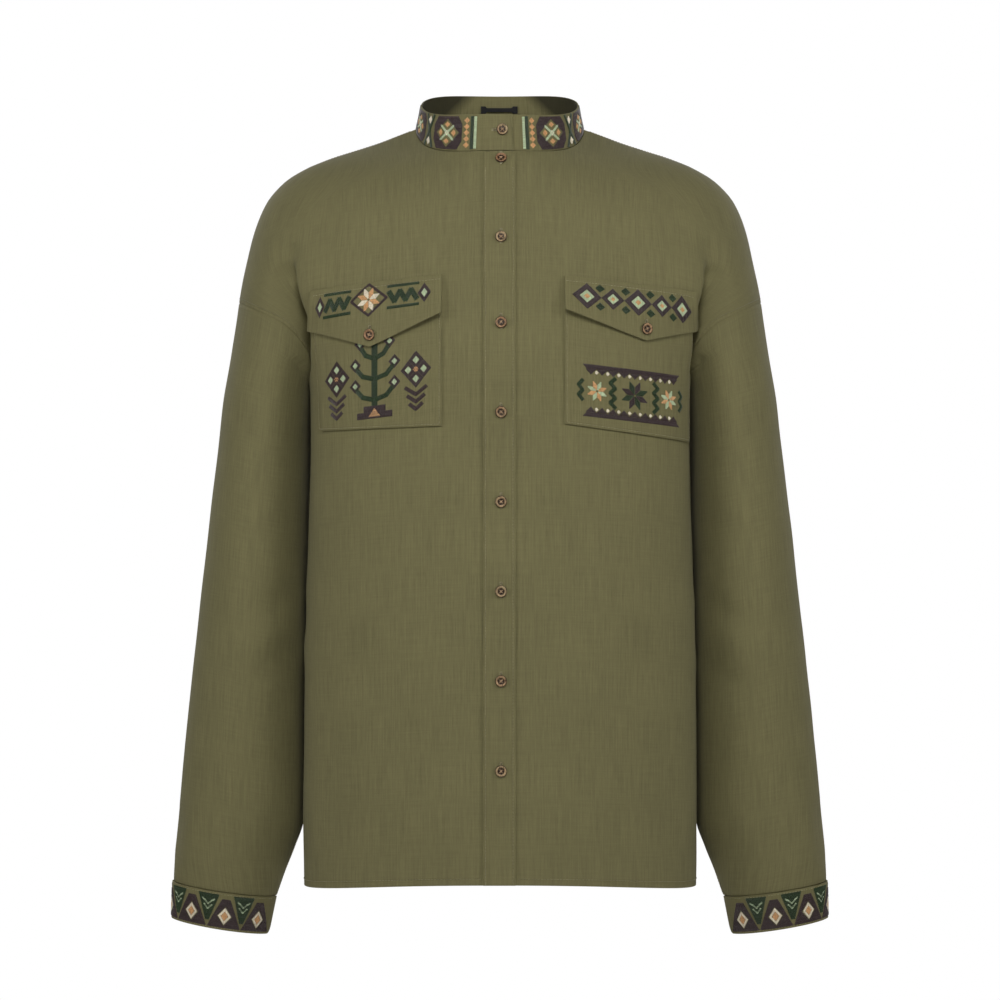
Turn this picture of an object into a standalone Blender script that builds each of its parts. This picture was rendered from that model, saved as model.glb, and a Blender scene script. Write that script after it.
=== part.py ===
"""An embroidered shirt with a stand collar, in its worn shape with no wearer.

The sizes below are in millimetres and MM turns them into metres. The origin is at the base of the neck, +Z is
up and the front faces -Y. The wearer's right side is at -X.

The body is a stack of rings, one for each height at the side. Over the shoulders a ring is one oval. Below
them it is two lobes, the torso and the arm, which meet in a crease and part at the armpit.
"""

import math
from typing import NamedTuple

import bpy
from mathutils import Matrix, Vector

MM = 0.001

# Cloth
WALL = 1.2
COLLAR_WALL = 1.8
CUFF_WALL = 1.6
SEAM_GAP = 1.2
LAID_GAP = 0.6
POCKET_GAP = 1.0

# Heights, taken at the side
NECK_LEVEL = 11.0
CREASE_TOP = -90.0
CREASE_FULL = -200.0
DROP_SHOULDER = -163.0
ARMPIT = -260.0
CUFF_TOP = -747.0

# Angles round a ring, from the centre front
SHOULDER_CREASE = 55.0
SIDE_SEAM = 100.0
WIDEST_COURSE = 0.895

# Front opening
PLACKET_COLUMNS = (-16.0, -8.0, 0.0, 8.0, 15.0)
RIGHT_FRONT_EDGE = -13.2
LEFT_FRONT_EDGE = -12.2

# Collar
COLLAR_OVER_X = 13.0
COLLAR_UNDER_X = -14.0
COLLAR_COLUMNS = 40
COLLAR_TUCK_FROM = -300.0
COLLAR_TUCK = 35.0
COLLAR_AXIS_Y = 0.0
COLLAR_BUTTON_X = 2.4
COLLAR_BUTTON_HEIGHT = 1.4

# Cuffs: angles of the columns from the front end round to the end that is tucked under it
CUFF_FRONT_ANGLES = (172, 169, 164, 158, 145, 125, 105, 85, 65, 40, 15, -10)
CUFF_BACK_ANGLES = (-35, -60, -85, -110, -135, -155, -175, -195, -212)
CUFF_CORNER = 9.0
CUFF_TUCK_FROM = -135.0
CUFF_TUCK = 45.0

# Pockets
CHEST_HALF = 196.0
POCKET_COLUMNS = 6
BAG_ROWS = 8
BAG_BELOW_FLAP = 11.0
FLAP_ROWS = 5
FLAP_OVER = 3.0
FLAP_STEP = 9.0
FLAP_STAND = 2.2
FLAP_HEIGHT = 60.0
FLAP_BUTTON_RISE = 11.8

# Hanger loop
LOOP_HALF = 18.5
LOOP_END = 6.0
LOOP_END_HALF = 3.7
LOOP_SHOULDER = 1.5
LOOP_MIDDLE_HALF = 2.0
LOOP_WALL = 1.2
LOOP_X = -0.7
LOOP_Y = 52.6
LOOP_Z = 35.0

# Buttons: half their section, from the middle of the face round the rim to the middle of the back
BUTTON_SECTION = (
    (0.0, 1.7), (3.6, 1.7), (4.2, 2.5), (5.2, 2.5), (5.75, 1.7), (5.2, 0.6), (3.6, 0.0), (0.0, 0.0),
)
BUTTON_STEPS = 14
BUTTON_GAP = 0.4
BUTTON_X = 1.0
TOP_BUTTONS = (-29.0, -107.0)
BUTTON_PITCH = 85.8
EVEN_BUTTONS_FROM = -190.0
EVEN_BUTTONS = 6


class Profile(NamedTuple):
    """Centre front and centre back of a ring."""

    level: float
    y_front: float
    z_front: float
    y_back: float
    z_back: float


class Shoulder(NamedTuple):
    """The oval of a ring over the shoulders. Lift 1 tilts it like a neckline, 0 drapes it over a ridge."""

    level: float
    half: float
    y_side: float
    power: float
    lift: float


class Torso(NamedTuple):
    """The torso's lobe of a ring."""

    level: float
    half: float
    y_side: float
    power: float


class Arm(NamedTuple):
    """The arm's lobe of a ring, and the sleeve below the armpit. Tilt lifts its outer side."""

    level: float
    outer: float
    inner: float
    y_mid: float
    depth: float
    tilt: float


class Band(NamedTuple):
    """One edge of the collar, as heights and distances from the neck's axis."""

    half: float
    y_side: float
    z_side: float
    y_front: float
    z_front: float
    y_back: float
    z_back: float


class Pocket(NamedTuple):
    """A patch pocket and its flap. X runs away from the centre front, and every height is negative."""

    side: int
    inner_x: float
    outer_x: float
    flap_inner_top: float
    flap_outer_top: float
    flap_inner_low: float
    flap_outer_low: float
    point_x: float
    point_z: float
    bag_inner_low: float
    bag_outer_low: float
    bag_taper: float


PROFILES = [
    Profile(11.0, -70.0, -19.5, 60.0, 13.0),
    Profile(5.5, -79.0, -34.0, 71.0, 3.0),
    Profile(-2.5, -87.0, -52.0, 83.0, -12.0),
    Profile(-10.5, -94.0, -74.0, 93.0, -31.0),
    Profile(-18.5, -101.0, -98.0, 101.0, -52.0),
    Profile(-28.5, -107.0, -120.0, 107.5, -74.0),
    Profile(-42.5, -112.0, -142.0, 113.0, -98.0),
    Profile(-64.5, -116.0, -161.0, 117.0, -122.0),
    Profile(-94.0, -119.5, -178.0, 119.5, -146.0),
    Profile(-124.0, -122.0, -195.0, 121.0, -169.0),
    Profile(-154.0, -124.0, -211.0, 122.0, -191.0),
    Profile(-184.5, -125.3, -226.0, 122.5, -212.0),
    Profile(-215.0, -126.3, -240.0, 122.5, -232.0),
    Profile(-240.0, -127.0, -251.0, 122.0, -247.0),
    Profile(-260.0, -127.0, -260.5, 121.5, -260.0),
    Profile(-300.0, -127.0, -299.0, 119.5, -300.0),
    Profile(-345.0, -127.0, -343.0, 116.5, -345.0),
    Profile(-400.0, -127.0, -397.0, 113.5, -400.0),
    Profile(-460.0, -127.5, -456.0, 112.5, -460.0),
    Profile(-520.0, -129.0, -514.5, 113.5, -520.0),
    Profile(-580.0, -131.0, -572.5, 116.0, -580.0),
    Profile(-640.0, -133.0, -631.0, 118.5, -640.0),
    Profile(-695.0, -135.0, -684.0, 121.0, -695.0),
    Profile(-740.0, -136.0, -728.0, 123.0, -740.0),
]

SHOULDERS = [
    Shoulder(11.0, 83.9, 15.0, 2.0, 1.0),
    Shoulder(5.5, 98.5, 15.0, 2.0, 0.8),
    Shoulder(-2.5, 119.5, 15.0, 2.0, 0.5),
    Shoulder(-10.5, 144.5, 15.0, 2.05, 0.25),
    Shoulder(-18.5, 169.3, 15.0, 2.1, 0.1),
    Shoulder(-28.5, 192.8, 15.0, 2.15, 0.0),
    Shoulder(-42.5, 215.3, 15.0, 2.2, 0.0),
    Shoulder(-64.5, 234.2, 15.0, 2.2, 0.0),
    Shoulder(-94.0, 246.2, 15.0, 2.2, 0.0),
    Shoulder(-124.0, 253.2, 15.0, 2.2, 0.0),
    Shoulder(-154.0, 259.3, 15.0, 2.2, 0.0),
    Shoulder(-184.5, 263.5, 15.0, 2.2, 0.0),
    Shoulder(-215.0, 268.6, 15.0, 2.2, 0.0),
    Shoulder(-240.0, 272.9, 15.0, 2.2, 0.0),
    Shoulder(-260.0, 276.0, 15.0, 2.2, 0.0),
]

TORSOS = [
    Torso(-94.0, 226.0, -6.0, 2.25),
    Torso(-124.0, 214.0, -10.0, 2.3),
    Torso(-154.0, 204.0, -14.0, 2.35),
    Torso(-184.5, 198.0, -17.0, 2.4),
    Torso(-215.0, 191.5, -19.0, 2.4),
    Torso(-240.0, 188.5, -20.0, 2.4),
    Torso(-260.0, 187.5, -20.0, 2.4),
    Torso(-300.0, 187.0, -20.0, 2.4),
    Torso(-345.0, 187.8, -20.0, 2.4),
    Torso(-400.0, 189.5, -19.0, 2.4),
    Torso(-460.0, 191.2, -18.0, 2.35),
    Torso(-520.0, 192.4, -17.0, 2.3),
    Torso(-580.0, 193.5, -16.0, 2.3),
    Torso(-640.0, 194.2, -16.0, 2.3),
    Torso(-695.0, 194.4, -16.0, 2.3),
    Torso(-740.0, 194.0, -16.0, 2.3),
]

ARMS = [
    Arm(-94.0, 246.2, 118.0, 12.0, 78.0, 0.0),
    Arm(-124.0, 253.2, 136.0, 12.0, 79.0, 0.0),
    Arm(-154.0, 259.3, 152.0, 13.0, 79.0, 0.0),
    Arm(-184.5, 263.5, 164.0, 13.0, 78.5, 0.0),
    Arm(-215.0, 268.6, 175.5, 14.0, 78.0, 0.0),
    Arm(-240.0, 272.9, 182.5, 14.0, 77.0, 0.0),
    Arm(-260.0, 276.0, 186.3, 14.0, 76.0, 0.0),
    Arm(-300.0, 280.8, 188.8, 16.0, 75.0, 0.0),
    Arm(-380.0, 290.5, 190.8, 18.0, 72.5, 0.5),
    Arm(-460.0, 299.6, 192.3, 19.0, 69.5, 1.0),
    Arm(-540.0, 308.4, 193.5, 18.5, 65.5, 2.0),
    Arm(-620.0, 316.6, 194.6, 17.0, 60.5, 3.5),
    Arm(-675.0, 321.2, 196.5, 15.5, 56.0, 5.0),
    Arm(-700.0, 323.6, 205.0, 14.5, 51.5, 6.0),
    Arm(-722.0, 325.6, 214.0, 13.5, 46.5, 7.0),
    Arm(-747.0, 326.4, 223.0, 12.5, 40.0, 7.5),
]

CUFF_EDGES = [
    Arm(-747.8, 327.8, 222.3, 12.5, 40.5, 7.5),
    Arm(-784.5, 328.4, 230.0, 11.5, 37.0, 8.0),
]

COLLAR_BASE = Band(83.9, 15.0, 11.0, -70.0, -19.5, 60.0, 13.0)
COLLAR_TOP = Band(78.8, 12.0, 35.0, -64.0, 17.3, 55.0, 49.0)

POCKETS = {
    "right": Pocket(-1, 56.0, 180.0, -143.0, -157.0, -182.0, -196.0, 123.5, -213.0, -289.0, -293.5, 8.0),
    "left": Pocket(1, 62.0, 185.0, -144.5, -157.5, -178.5, -195.5, 139.0, -206.5, -287.0, -303.5, 2.0),
}

# The body's grids: columns across the torso, then shares of the way from the crease to the ridge
TORSO_SHARES = (0.0, 0.13, 0.25, 0.37, 0.49, 0.6, 0.7, 0.79, 0.87, 0.94, 1.0)
TURNS = (0.0, 0.13, 0.27, 0.41, 0.55, 0.68, 0.8, 0.91, 1.0)
SLEEVE_ROWS = (0.0, 0.05, 0.11, 0.18, 0.27, 0.38, 0.5, 0.62, 0.73, 0.81, 0.87, 0.91, 0.95, 1.0)


def smooth(share):
    """0 to 1 with level ends."""
    share = min(max(share, 0.0), 1.0)
    return share * share * (3 - 2 * share)


def slopes_of(levels, values):
    """A slope for each value, which never makes the curve between two rows run past them."""
    steps = [(b - a) / (q - p) for a, b, p, q in zip(values, values[1:], levels, levels[1:])]
    middle = [0.0 if a * b <= 0 else 2 * a * b / (a + b) for a, b in zip(steps, steps[1:])]
    return [steps[0], *middle, steps[-1]]


def reader(rows):
    """A function that gives the table's row at any level, smooth between the rows that are written."""
    rows = sorted(rows, key=lambda row: row.level)
    levels = [row.level for row in rows]
    columns = list(zip(*rows))
    slopes = [slopes_of(levels, column) for column in columns]

    def read(level):
        level = min(max(level, levels[0]), levels[-1])
        low = max(i for i in range(len(levels) - 1) if levels[i] <= level)
        span = levels[low + 1] - levels[low]
        t = (level - levels[low]) / span
        start, end = (1 + 2 * t) * (1 - t) ** 2, t * t * (3 - 2 * t)
        out, into = span * t * (1 - t) ** 2, span * t * t * (t - 1)
        values = [
            start * c[low] + end * c[low + 1] + out * s[low] + into * s[low + 1]
            for c, s in zip(columns, slopes)
        ]
        return type(rows[0])(*values)

    return read


profile_at = reader(PROFILES)
shoulder_at = reader(SHOULDERS)
torso_at = reader(TORSOS)
arm_at = reader(ARMS)
cuff_at = reader(CUFF_EDGES)


def lobe(half, y_side, y_end, power, angle):
    """X and Y on an oval with its own depth in front and behind. Angle 0 is the centre front."""
    sine = math.sin(math.radians(angle))
    cosine = abs(math.cos(math.radians(angle)))
    x = half * math.copysign(abs(sine) ** (2 / power), sine)
    return x, y_side + (y_end - y_side) * cosine ** (2 / power)


def ring_height(level, angle):
    """Height of a ring at an angle: it falls or rises from its side to its centre front or back."""
    profile = profile_at(level)
    lift = shoulder_at(level).lift
    cosine = math.cos(math.radians(angle))
    end = profile.z_front if cosine > 0 else profile.z_back
    cosine = abs(cosine)
    return level + (end - level) * ((1 - lift) * cosine**2 + lift * math.sin(cosine * math.pi / 2))


def on_oval(level, angle):
    """Point of the one oval that goes round both torso and arms."""
    ring, profile = shoulder_at(level), profile_at(level)
    y_end = profile.y_front if angle < 90 else profile.y_back
    x, y = lobe(ring.half, ring.y_side, y_end, ring.power, angle)
    return Vector((x, y, ring_height(level, angle)))


def on_torso(level, angle):
    ring, profile = torso_at(level), profile_at(level)
    y_end = profile.y_front if angle < 90 else profile.y_back
    x, y = lobe(ring.half, ring.y_side, y_end, ring.power, angle)
    return Vector((x, y, ring_height(level, angle)))


def on_tube(ring, angle):
    """Point of an arm's ring. Angle 0 is its outer side, 90 its front and 180 its inner side."""
    half = (ring.outer - ring.inner) / 2
    turn = math.radians(angle)
    x = ring.outer - half + half * math.cos(turn)
    y = ring.y_mid - ring.depth * math.sin(turn)
    return Vector((x, y, ring.level + ring.tilt * math.cos(turn)))


def crease_angles(level, behind):
    """Where the torso's lobe meets the arm's: the angle on the torso, then the angle on the arm."""
    ring = arm_at(level)
    half = (ring.outer - ring.inner) / 2

    def on_arm(angle):
        point = on_torso(level, angle)
        return Vector(((point.x - ring.outer + half) / half, (ring.y_mid - point.y) / ring.depth))

    clear, within = (150.0 if behind else 45.0), SIDE_SEAM
    if on_arm(within).length > 1:
        return within, (-180.0 if behind else 180.0)
    for _ in range(24):
        middle = (clear + within) / 2
        if on_arm(middle).length > 1:
            clear = middle
        else:
            within = middle
    place = on_arm(within)
    return within, math.degrees(math.atan2(place.y, place.x))


def on_body(level, course):
    """Point of the body's cloth on the left side, in millimetres.

    Course 0 is the centre front, 1 the front crease, 2 the ridge of the shoulder and arm, 3 the back crease
    and 4 the centre back. Below the armpit 1 and 3 are the side seam.
    """
    behind = course > 2
    reach = 4 - course if behind else course
    if level <= ARMPIT:
        angle = 180 - reach * (180 - SIDE_SEAM) if behind else reach * SIDE_SEAM
        return on_torso(level, angle)
    if reach <= 1:
        oval_angle = SHOULDER_CREASE * reach
    else:
        oval_angle = SHOULDER_CREASE + (90 - SHOULDER_CREASE) * (reach - 1)
    oval = on_oval(level, 180 - oval_angle if behind else oval_angle)
    if level >= CREASE_TOP:
        return oval
    torso_angle, arm_angle = crease_angles(level, behind)
    if reach <= 1:
        angle = 180 - reach * (180 - torso_angle) if behind else reach * torso_angle
        parted = on_torso(level, angle)
    else:
        parted = on_tube(arm_at(level), (2 - reach) * arm_angle)
    parted.z = oval.z
    return oval.lerp(parted, smooth((CREASE_TOP - level) / (CREASE_TOP - CREASE_FULL)))


def on_sleeve(level, turn):
    """Point of the left sleeve. Turn 0 is its outer side, 1 and -1 its inner side, by the front and back."""
    if level > ARMPIT:
        return on_body(level, 2 - turn)
    return on_tube(arm_at(level), 180 * turn)


def armhole_level(turn):
    """Level of the armhole seam: low on the shoulder outside, then down to the armpit along the crease."""
    fall = 0.22 * turn**2 + 0.78 * abs(turn) ** 10
    return DROP_SHOULDER + (ARMPIT - DROP_SHOULDER) * fall


def normal_to(surface, level, course, step=0.02):
    """Outward unit normal of a surface of the left side."""
    across = surface(level, course + step) - surface(level, course - step)
    down = surface(level - 1, course) - surface(level + 1, course)
    return down.cross(across).normalized()


def find_front(x, z):
    """Level and course of the left front's point at this x and z."""
    level = z + 30
    course = math.copysign(math.degrees(math.asin(min(1, abs(x) / CHEST_HALF))) / SIDE_SEAM, x)
    for _ in range(14):
        place = on_body(level, course)
        by_level = (on_body(level - 1, course) - place) * -1
        by_course = (on_body(level, course + 0.01) - place) * 100
        dx, dz = x - place.x, z - place.z
        turn = by_level.x * by_course.z - by_course.x * by_level.z
        level += max(-25, min(25, (dx * by_course.z - by_course.x * dz) / turn))
        course += max(-0.1, min(0.1, (by_level.x * dz - dx * by_level.z) / turn))
        course = min(course, 1.0 if level > ARMPIT else WIDEST_COURSE)
        if abs(dx) + abs(dz) < 0.01:
            break
    return level, course


def above_front(side, x, z, out):
    """Point this far out from the front of the given side, and the normal there. X runs away from the centre."""
    level, course = find_front(x, z)
    normal = normal_to(on_body, level, course)
    point = on_body(level, course) + normal * out
    mirror = Vector((side, 1, 1))
    return point * mirror, normal * mirror


def cloth_material(name, colour, roughness=0.85, metallic=0.0):
    material = bpy.data.materials.new(name)
    material.use_nodes = True
    shader = material.node_tree.nodes["Principled BSDF"]
    shader.inputs["Base Color"].default_value = (*colour, 1)
    shader.inputs["Roughness"].default_value = roughness
    shader.inputs["Metallic"].default_value = metallic
    return material


OLIVE = (0.155, 0.137, 0.068)
OLIVE_SHADE = (0.13, 0.115, 0.057)
BUTTON_BROWN = (0.15, 0.072, 0.028)
BLACK = (0.006, 0.006, 0.006)


def add_mesh(name, points, faces, colour, roughness=0.85):
    mesh = bpy.data.meshes.new(name)
    mesh.from_pydata([point * MM for point in points], [], faces)
    mesh.materials.append(cloth_material(name, colour, roughness))
    mesh.shade_smooth()
    piece = bpy.data.objects.new(name, mesh)
    parts.objects.link(piece)
    return piece


def add_wall(name, rows, wall, colour, side=1, closed=False, centred=False):
    """A cloth wall whose outer face is a grid of points, listed down from the top and along +X at the front.

    A row may be longer than the next one, where a panel narrows, at its end or, centred, at both ends.
    Side -1 mirrors it.
    """
    starts = [sum(len(row) for row in rows[:i]) for i in range(len(rows))]
    points = [point * Vector((side, 1, 1)) for row in rows for point in row]
    faces = []
    for i, (row, below) in enumerate(zip(rows, rows[1:])):
        count = min(len(row), len(below))
        high = starts[i] + ((len(row) - count) // 2 if centred else 0)
        low = starts[i + 1]
        for j in range(count if closed else count - 1):
            after = (j + 1) % count
            face = (high + j, low + j, low + after, high + after)
            faces.append(face[::-1] if side < 0 else face)
    piece = add_mesh(name, points, faces, colour)
    solidify = piece.modifiers.new("wall", "SOLIDIFY")
    solidify.thickness = wall * MM
    solidify.offset = -1
    solidify.use_even_offset = True
    return piece


def draw_in(point, neighbour, distance=SEAM_GAP / 2):
    """The point moved towards its neighbour, which leaves half a seam's gap."""
    return point + (neighbour - point).normalized() * distance


def course_at(level, x):
    """Course of the body's point at this level and x, near the centre front."""
    low, high = -0.6, 0.6
    for _ in range(30):
        middle = (low + high) / 2
        if on_body(level, middle).x < x:
            low = middle
        else:
            high = middle
    return low


def half_panel(behind, edge_x=None):
    """Half the body's front or back as rows of points, from its centre to the side seam or shoulder seam."""

    def course(reach):
        return 4 - reach if behind else reach

    rows = []
    for row in PROFILES:
        start = 0.0 if edge_x is None else course_at(row.level, edge_x)
        steps = [start + (1 - start) * share for share in TORSO_SHARES]
        rows.append([on_body(row.level, course(reach)) for reach in steps])
    last = len(SHOULDERS) - 1
    for i, ring in enumerate(SHOULDERS):
        share = (NECK_LEVEL - ring.level) / (NECK_LEVEL - ARMPIT)
        for turn in reversed(TURNS[:-1]):
            level = NECK_LEVEL + (armhole_level(turn) - NECK_LEVEL) * share
            rows[i].append(on_body(level, course(2 - turn)))
    for j in range(len(TORSO_SHARES) - 1, len(rows[last])):
        rows[last][j] = draw_in(rows[last][j], rows[last - 1][j])
    for row in rows:
        row[-1] = draw_in(row[-1], row[-2])
    return rows


def add_back():
    mirror = Vector((-1, 1, 1))
    half = half_panel(behind=True)
    rows = [row[::-1] + [point * mirror for point in row[1:]] for row in half]
    add_wall("back", rows, WALL, OLIVE, centred=True)


def add_sleeve(name, side):
    turns = [*reversed(TURNS), *(-turn for turn in TURNS[1:-1])]
    rows = []
    for share in SLEEVE_ROWS:
        levels = [armhole_level(turn) + (CUFF_TOP - armhole_level(turn)) * share for turn in turns]
        rows.append([on_sleeve(level, turn) for level, turn in zip(levels, turns)])
    rows[0] = [draw_in(point, below, SEAM_GAP) for point, below in zip(rows[0], rows[1])]
    add_wall(name, rows, WALL, OLIVE, side, closed=True)


def on_band(band, angle):
    """Point of a ring of the collar. Angle 0 is the centre front and 90 the left side."""
    turn = math.radians(angle)
    cosine = math.cos(turn)
    y_end, z_end = (band.y_front, band.z_front) if cosine > 0 else (band.y_back, band.z_back)
    cosine = abs(cosine)
    y = band.y_side + (y_end - band.y_side) * cosine
    z = band.z_side + (z_end - band.z_side) * math.sin(cosine * math.pi / 2)
    return Vector((band.half * math.sin(turn), y, z))


def on_collar(share, angle, inward=0.0):
    """Point of the collar's outer face. Share 0 is its base and 1 its top edge."""
    point = on_band(COLLAR_BASE, angle).lerp(on_band(COLLAR_TOP, angle), share)
    return point - Vector((point.x, point.y - COLLAR_AXIS_Y, 0)).normalized() * inward


def add_collar():
    """One band that goes once round the neck and laps over its own end at the centre front."""
    over_end = math.degrees(math.asin(COLLAR_OVER_X / COLLAR_BASE.half))
    under_end = math.degrees(math.asin(COLLAR_UNDER_X / COLLAR_BASE.half)) - 360
    rows = []
    for share in (1.0, 0.5, 0.012):
        row = []
        for j in range(COLLAR_COLUMNS + 1):
            angle = under_end + (over_end - under_end) * j / COLLAR_COLUMNS
            tucked = smooth((COLLAR_TUCK_FROM - angle) / COLLAR_TUCK)
            row.append(on_collar(share, angle, tucked * (COLLAR_WALL + LAID_GAP)))
        rows.append(row)
    add_wall("collar", rows, COLLAR_WALL, OLIVE_SHADE)


def add_cuff(name, side):
    """A band round the wrist whose front end laps over its back end on the inner side."""
    top, bottom = CUFF_EDGES
    height = top.level - bottom.level
    girth_step = math.radians(1) * (top.depth + (top.outer - top.inner) / 2) / 2
    rows = []
    for share in (0.0, 0.5, 1.0):
        row = []
        for angle in CUFF_FRONT_ANGLES + CUFF_BACK_ANGLES:
            from_end = (CUFF_FRONT_ANGLES[0] - angle) * girth_step
            rise = CUFF_CORNER - math.sqrt(max(0, CUFF_CORNER**2 - max(0, CUFF_CORNER - from_end) ** 2))
            reach = share * (1 - rise / height)
            point = on_tube(top, angle).lerp(on_tube(bottom, angle), reach)
            tucked = smooth((CUFF_TUCK_FROM - angle) / CUFF_TUCK) * (CUFF_WALL + LAID_GAP)
            axis = Vector(((top.outer + top.inner) / 2, top.y_mid, point.z))
            row.append(draw_in(point, axis, tucked))
        rows.append(row)
    add_wall(name, rows, CUFF_WALL, OLIVE_SHADE, side)


def add_placket():
    """The buttonhole band, laid over the edges of both fronts from the collar to the hem."""
    rows = []
    for row in PROFILES:
        level = min(row.level, NECK_LEVEL - LAID_GAP)
        courses = [course_at(level, x) for x in PLACKET_COLUMNS]
        rows.append([raised(level, course, LAID_GAP + WALL) for course in courses])
    add_wall("placket", rows, WALL, OLIVE_SHADE)


def raised(level, course, out):
    return on_body(level, course) + normal_to(on_body, level, course) * out


def columns_across(pocket, outer_x):
    """X of each column of a pocket, closer together where the chest turns away."""
    turns = [math.asin(x / CHEST_HALF) for x in (pocket.inner_x, pocket.point_x, outer_x)]
    inner, middle, outer = turns
    steps = [inner + (middle - inner) * j / POCKET_COLUMNS for j in range(POCKET_COLUMNS)]
    steps += [middle + (outer - middle) * j / POCKET_COLUMNS for j in range(POCKET_COLUMNS + 1)]
    return [CHEST_HALF * math.sin(step) for step in steps]


def between(x, start_x, start, end_x, end):
    return start + (end - start) * (x - start_x) / (end_x - start_x)


def flap_top(pocket, x):
    return between(x, pocket.inner_x, pocket.flap_inner_top, pocket.outer_x, pocket.flap_outer_top)


def flap_low(pocket, x):
    """The pointed lower edge of a flap."""
    if x <= pocket.point_x:
        return between(x, pocket.inner_x, pocket.flap_inner_low, pocket.point_x, pocket.point_z)
    return between(x, pocket.point_x, pocket.point_z, pocket.outer_x, pocket.flap_outer_low)


def flap_out(depth):
    """Distance of a flap's inner face from the front: it steps over the bag, then stands off."""
    step = (WALL + POCKET_GAP) * smooth(depth / FLAP_STEP)
    return POCKET_GAP + step + FLAP_STAND * (depth / FLAP_HEIGHT) ** 2


def add_bag(name, pocket):
    rows = []
    for i in range(BAG_ROWS + 1):
        share = i / BAG_ROWS
        row = []
        for x in columns_across(pocket, pocket.outer_x - pocket.bag_taper * share):
            top = flap_top(pocket, x) - BAG_BELOW_FLAP
            low = between(x, pocket.inner_x, pocket.bag_inner_low, pocket.outer_x, pocket.bag_outer_low)
            level, course = find_front(x, top + (low - top) * share)
            row.append(raised(level, course, POCKET_GAP + WALL))
        rows.append(row)
    add_wall(name, rows, WALL, OLIVE, pocket.side)


def add_flap(name, pocket):
    rows = []
    for i in range(FLAP_ROWS + 1):
        row = []
        for x in columns_across(pocket, pocket.outer_x + FLAP_OVER):
            top = flap_top(pocket, x)
            depth = (top - flap_low(pocket, x)) * i / FLAP_ROWS
            level, course = find_front(x, top - depth)
            row.append(raised(level, course, flap_out(depth) + WALL))
        rows.append(row)
    add_wall(name, rows, WALL, OLIVE, pocket.side)


def button_mesh():
    mesh = bpy.data.meshes.new("button")
    points = [(x * MM, 0, z * MM) for x, z in BUTTON_SECTION]
    mesh.from_pydata(points, [(i, i + 1) for i in range(len(points) - 1)], [])
    mesh.materials.append(cloth_material("button", BUTTON_BROWN, roughness=0.5))
    return mesh


def add_button(name, mesh, point, normal):
    """A button whose back is at this point, facing along the normal."""
    button = bpy.data.objects.new(name, mesh)
    turn = Vector((0, 0, 1)).rotation_difference(normal)
    button.matrix_world = Matrix.Translation(point * MM) @ turn.to_matrix().to_4x4()
    screw = button.modifiers.new("turned", "SCREW")
    screw.steps = screw.render_steps = BUTTON_STEPS
    screw.use_merge_vertices = True
    screw.merge_threshold = 0.00005
    screw.use_smooth_shade = False
    parts.objects.link(button)


def add_buttons():
    mesh = button_mesh()
    face = on_collar(1, 0) - on_collar(0, 0)
    normal = face.cross(Vector((-1, 0, 0))).normalized()
    share = (COLLAR_BUTTON_HEIGHT - COLLAR_BASE.z_front) / (COLLAR_TOP.z_front - COLLAR_BASE.z_front)
    base = on_collar(share, math.degrees(COLLAR_BUTTON_X / COLLAR_BASE.half))
    add_button("button_collar", mesh, base + normal * BUTTON_GAP, normal)
    heights = [*TOP_BUTTONS, *(EVEN_BUTTONS_FROM - BUTTON_PITCH * i for i in range(EVEN_BUTTONS))]
    for i, height in enumerate(heights):
        point, normal = above_front(1, BUTTON_X, height, LAID_GAP + WALL + BUTTON_GAP)
        add_button(f"button_placket_{i + 1}", mesh, point, normal)
    for side_name, pocket in POCKETS.items():
        x, height = pocket.point_x, pocket.point_z + FLAP_BUTTON_RISE
        depth = flap_top(pocket, x) - height
        out = flap_out(depth) + WALL + BUTTON_GAP
        point, normal = above_front(pocket.side, x, height, out)
        add_button(f"button_flap_{side_name}", mesh, point, normal)


def add_hanger_loop():
    """A short black tab with wide sewn ends, inside the back of the collar."""
    outline = []
    for side_x, side_z in ((1, 1), (1, -1), (-1, -1), (-1, 1)):
        corner = [(LOOP_HALF, LOOP_END_HALF), (LOOP_HALF - LOOP_END, LOOP_END_HALF)]
        corner.append((LOOP_HALF - LOOP_END - LOOP_SHOULDER, LOOP_MIDDLE_HALF))
        corner = corner if side_x * side_z < 0 else corner[::-1]
        outline += [(x * side_x, z * side_z) for x, z in corner]
    curve = bpy.data.curves.new("hanger_loop", "CURVE")
    curve.dimensions = "2D"
    curve.fill_mode = "BOTH"
    curve.extrude = LOOP_WALL / 2 * MM
    spline = curve.splines.new("POLY")
    spline.points.add(len(outline) - 1)
    for point, (x, z) in zip(spline.points, outline):
        point.co = (x * MM, z * MM, 0, 1)
    spline.use_cyclic_u = True
    curve.materials.append(cloth_material("hanger_loop", BLACK, roughness=0.7))
    loop = bpy.data.objects.new("hanger_loop", curve)
    lean = math.atan2(COLLAR_TOP.y_back - COLLAR_BASE.y_back, COLLAR_TOP.z_back - COLLAR_BASE.z_back)
    loop.location = Vector((LOOP_X, LOOP_Y, LOOP_Z)) * MM
    loop.rotation_euler = (math.pi / 2 - lean, 0, 0)
    parts.objects.link(loop)


def main():
    for old in list(bpy.data.objects):
        bpy.data.objects.remove(old)
    bpy.context.scene.collection.children.link(parts)
    add_wall("front_right", half_panel(False, -RIGHT_FRONT_EDGE), WALL, OLIVE, side=-1)
    add_wall("front_left", half_panel(False, LEFT_FRONT_EDGE), WALL, OLIVE)
    add_back()
    for side_name, side in (("right", -1), ("left", 1)):
        add_sleeve(f"sleeve_{side_name}", side)
        add_cuff(f"cuff_{side_name}", side)
    add_collar()
    add_placket()
    for side_name, pocket in POCKETS.items():
        add_bag(f"pocket_{side_name}", pocket)
        add_flap(f"flap_{side_name}", pocket)
    add_buttons()
    add_hanger_loop()


parts = bpy.data.collections.new("embroidered_shirt")
main()
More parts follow.
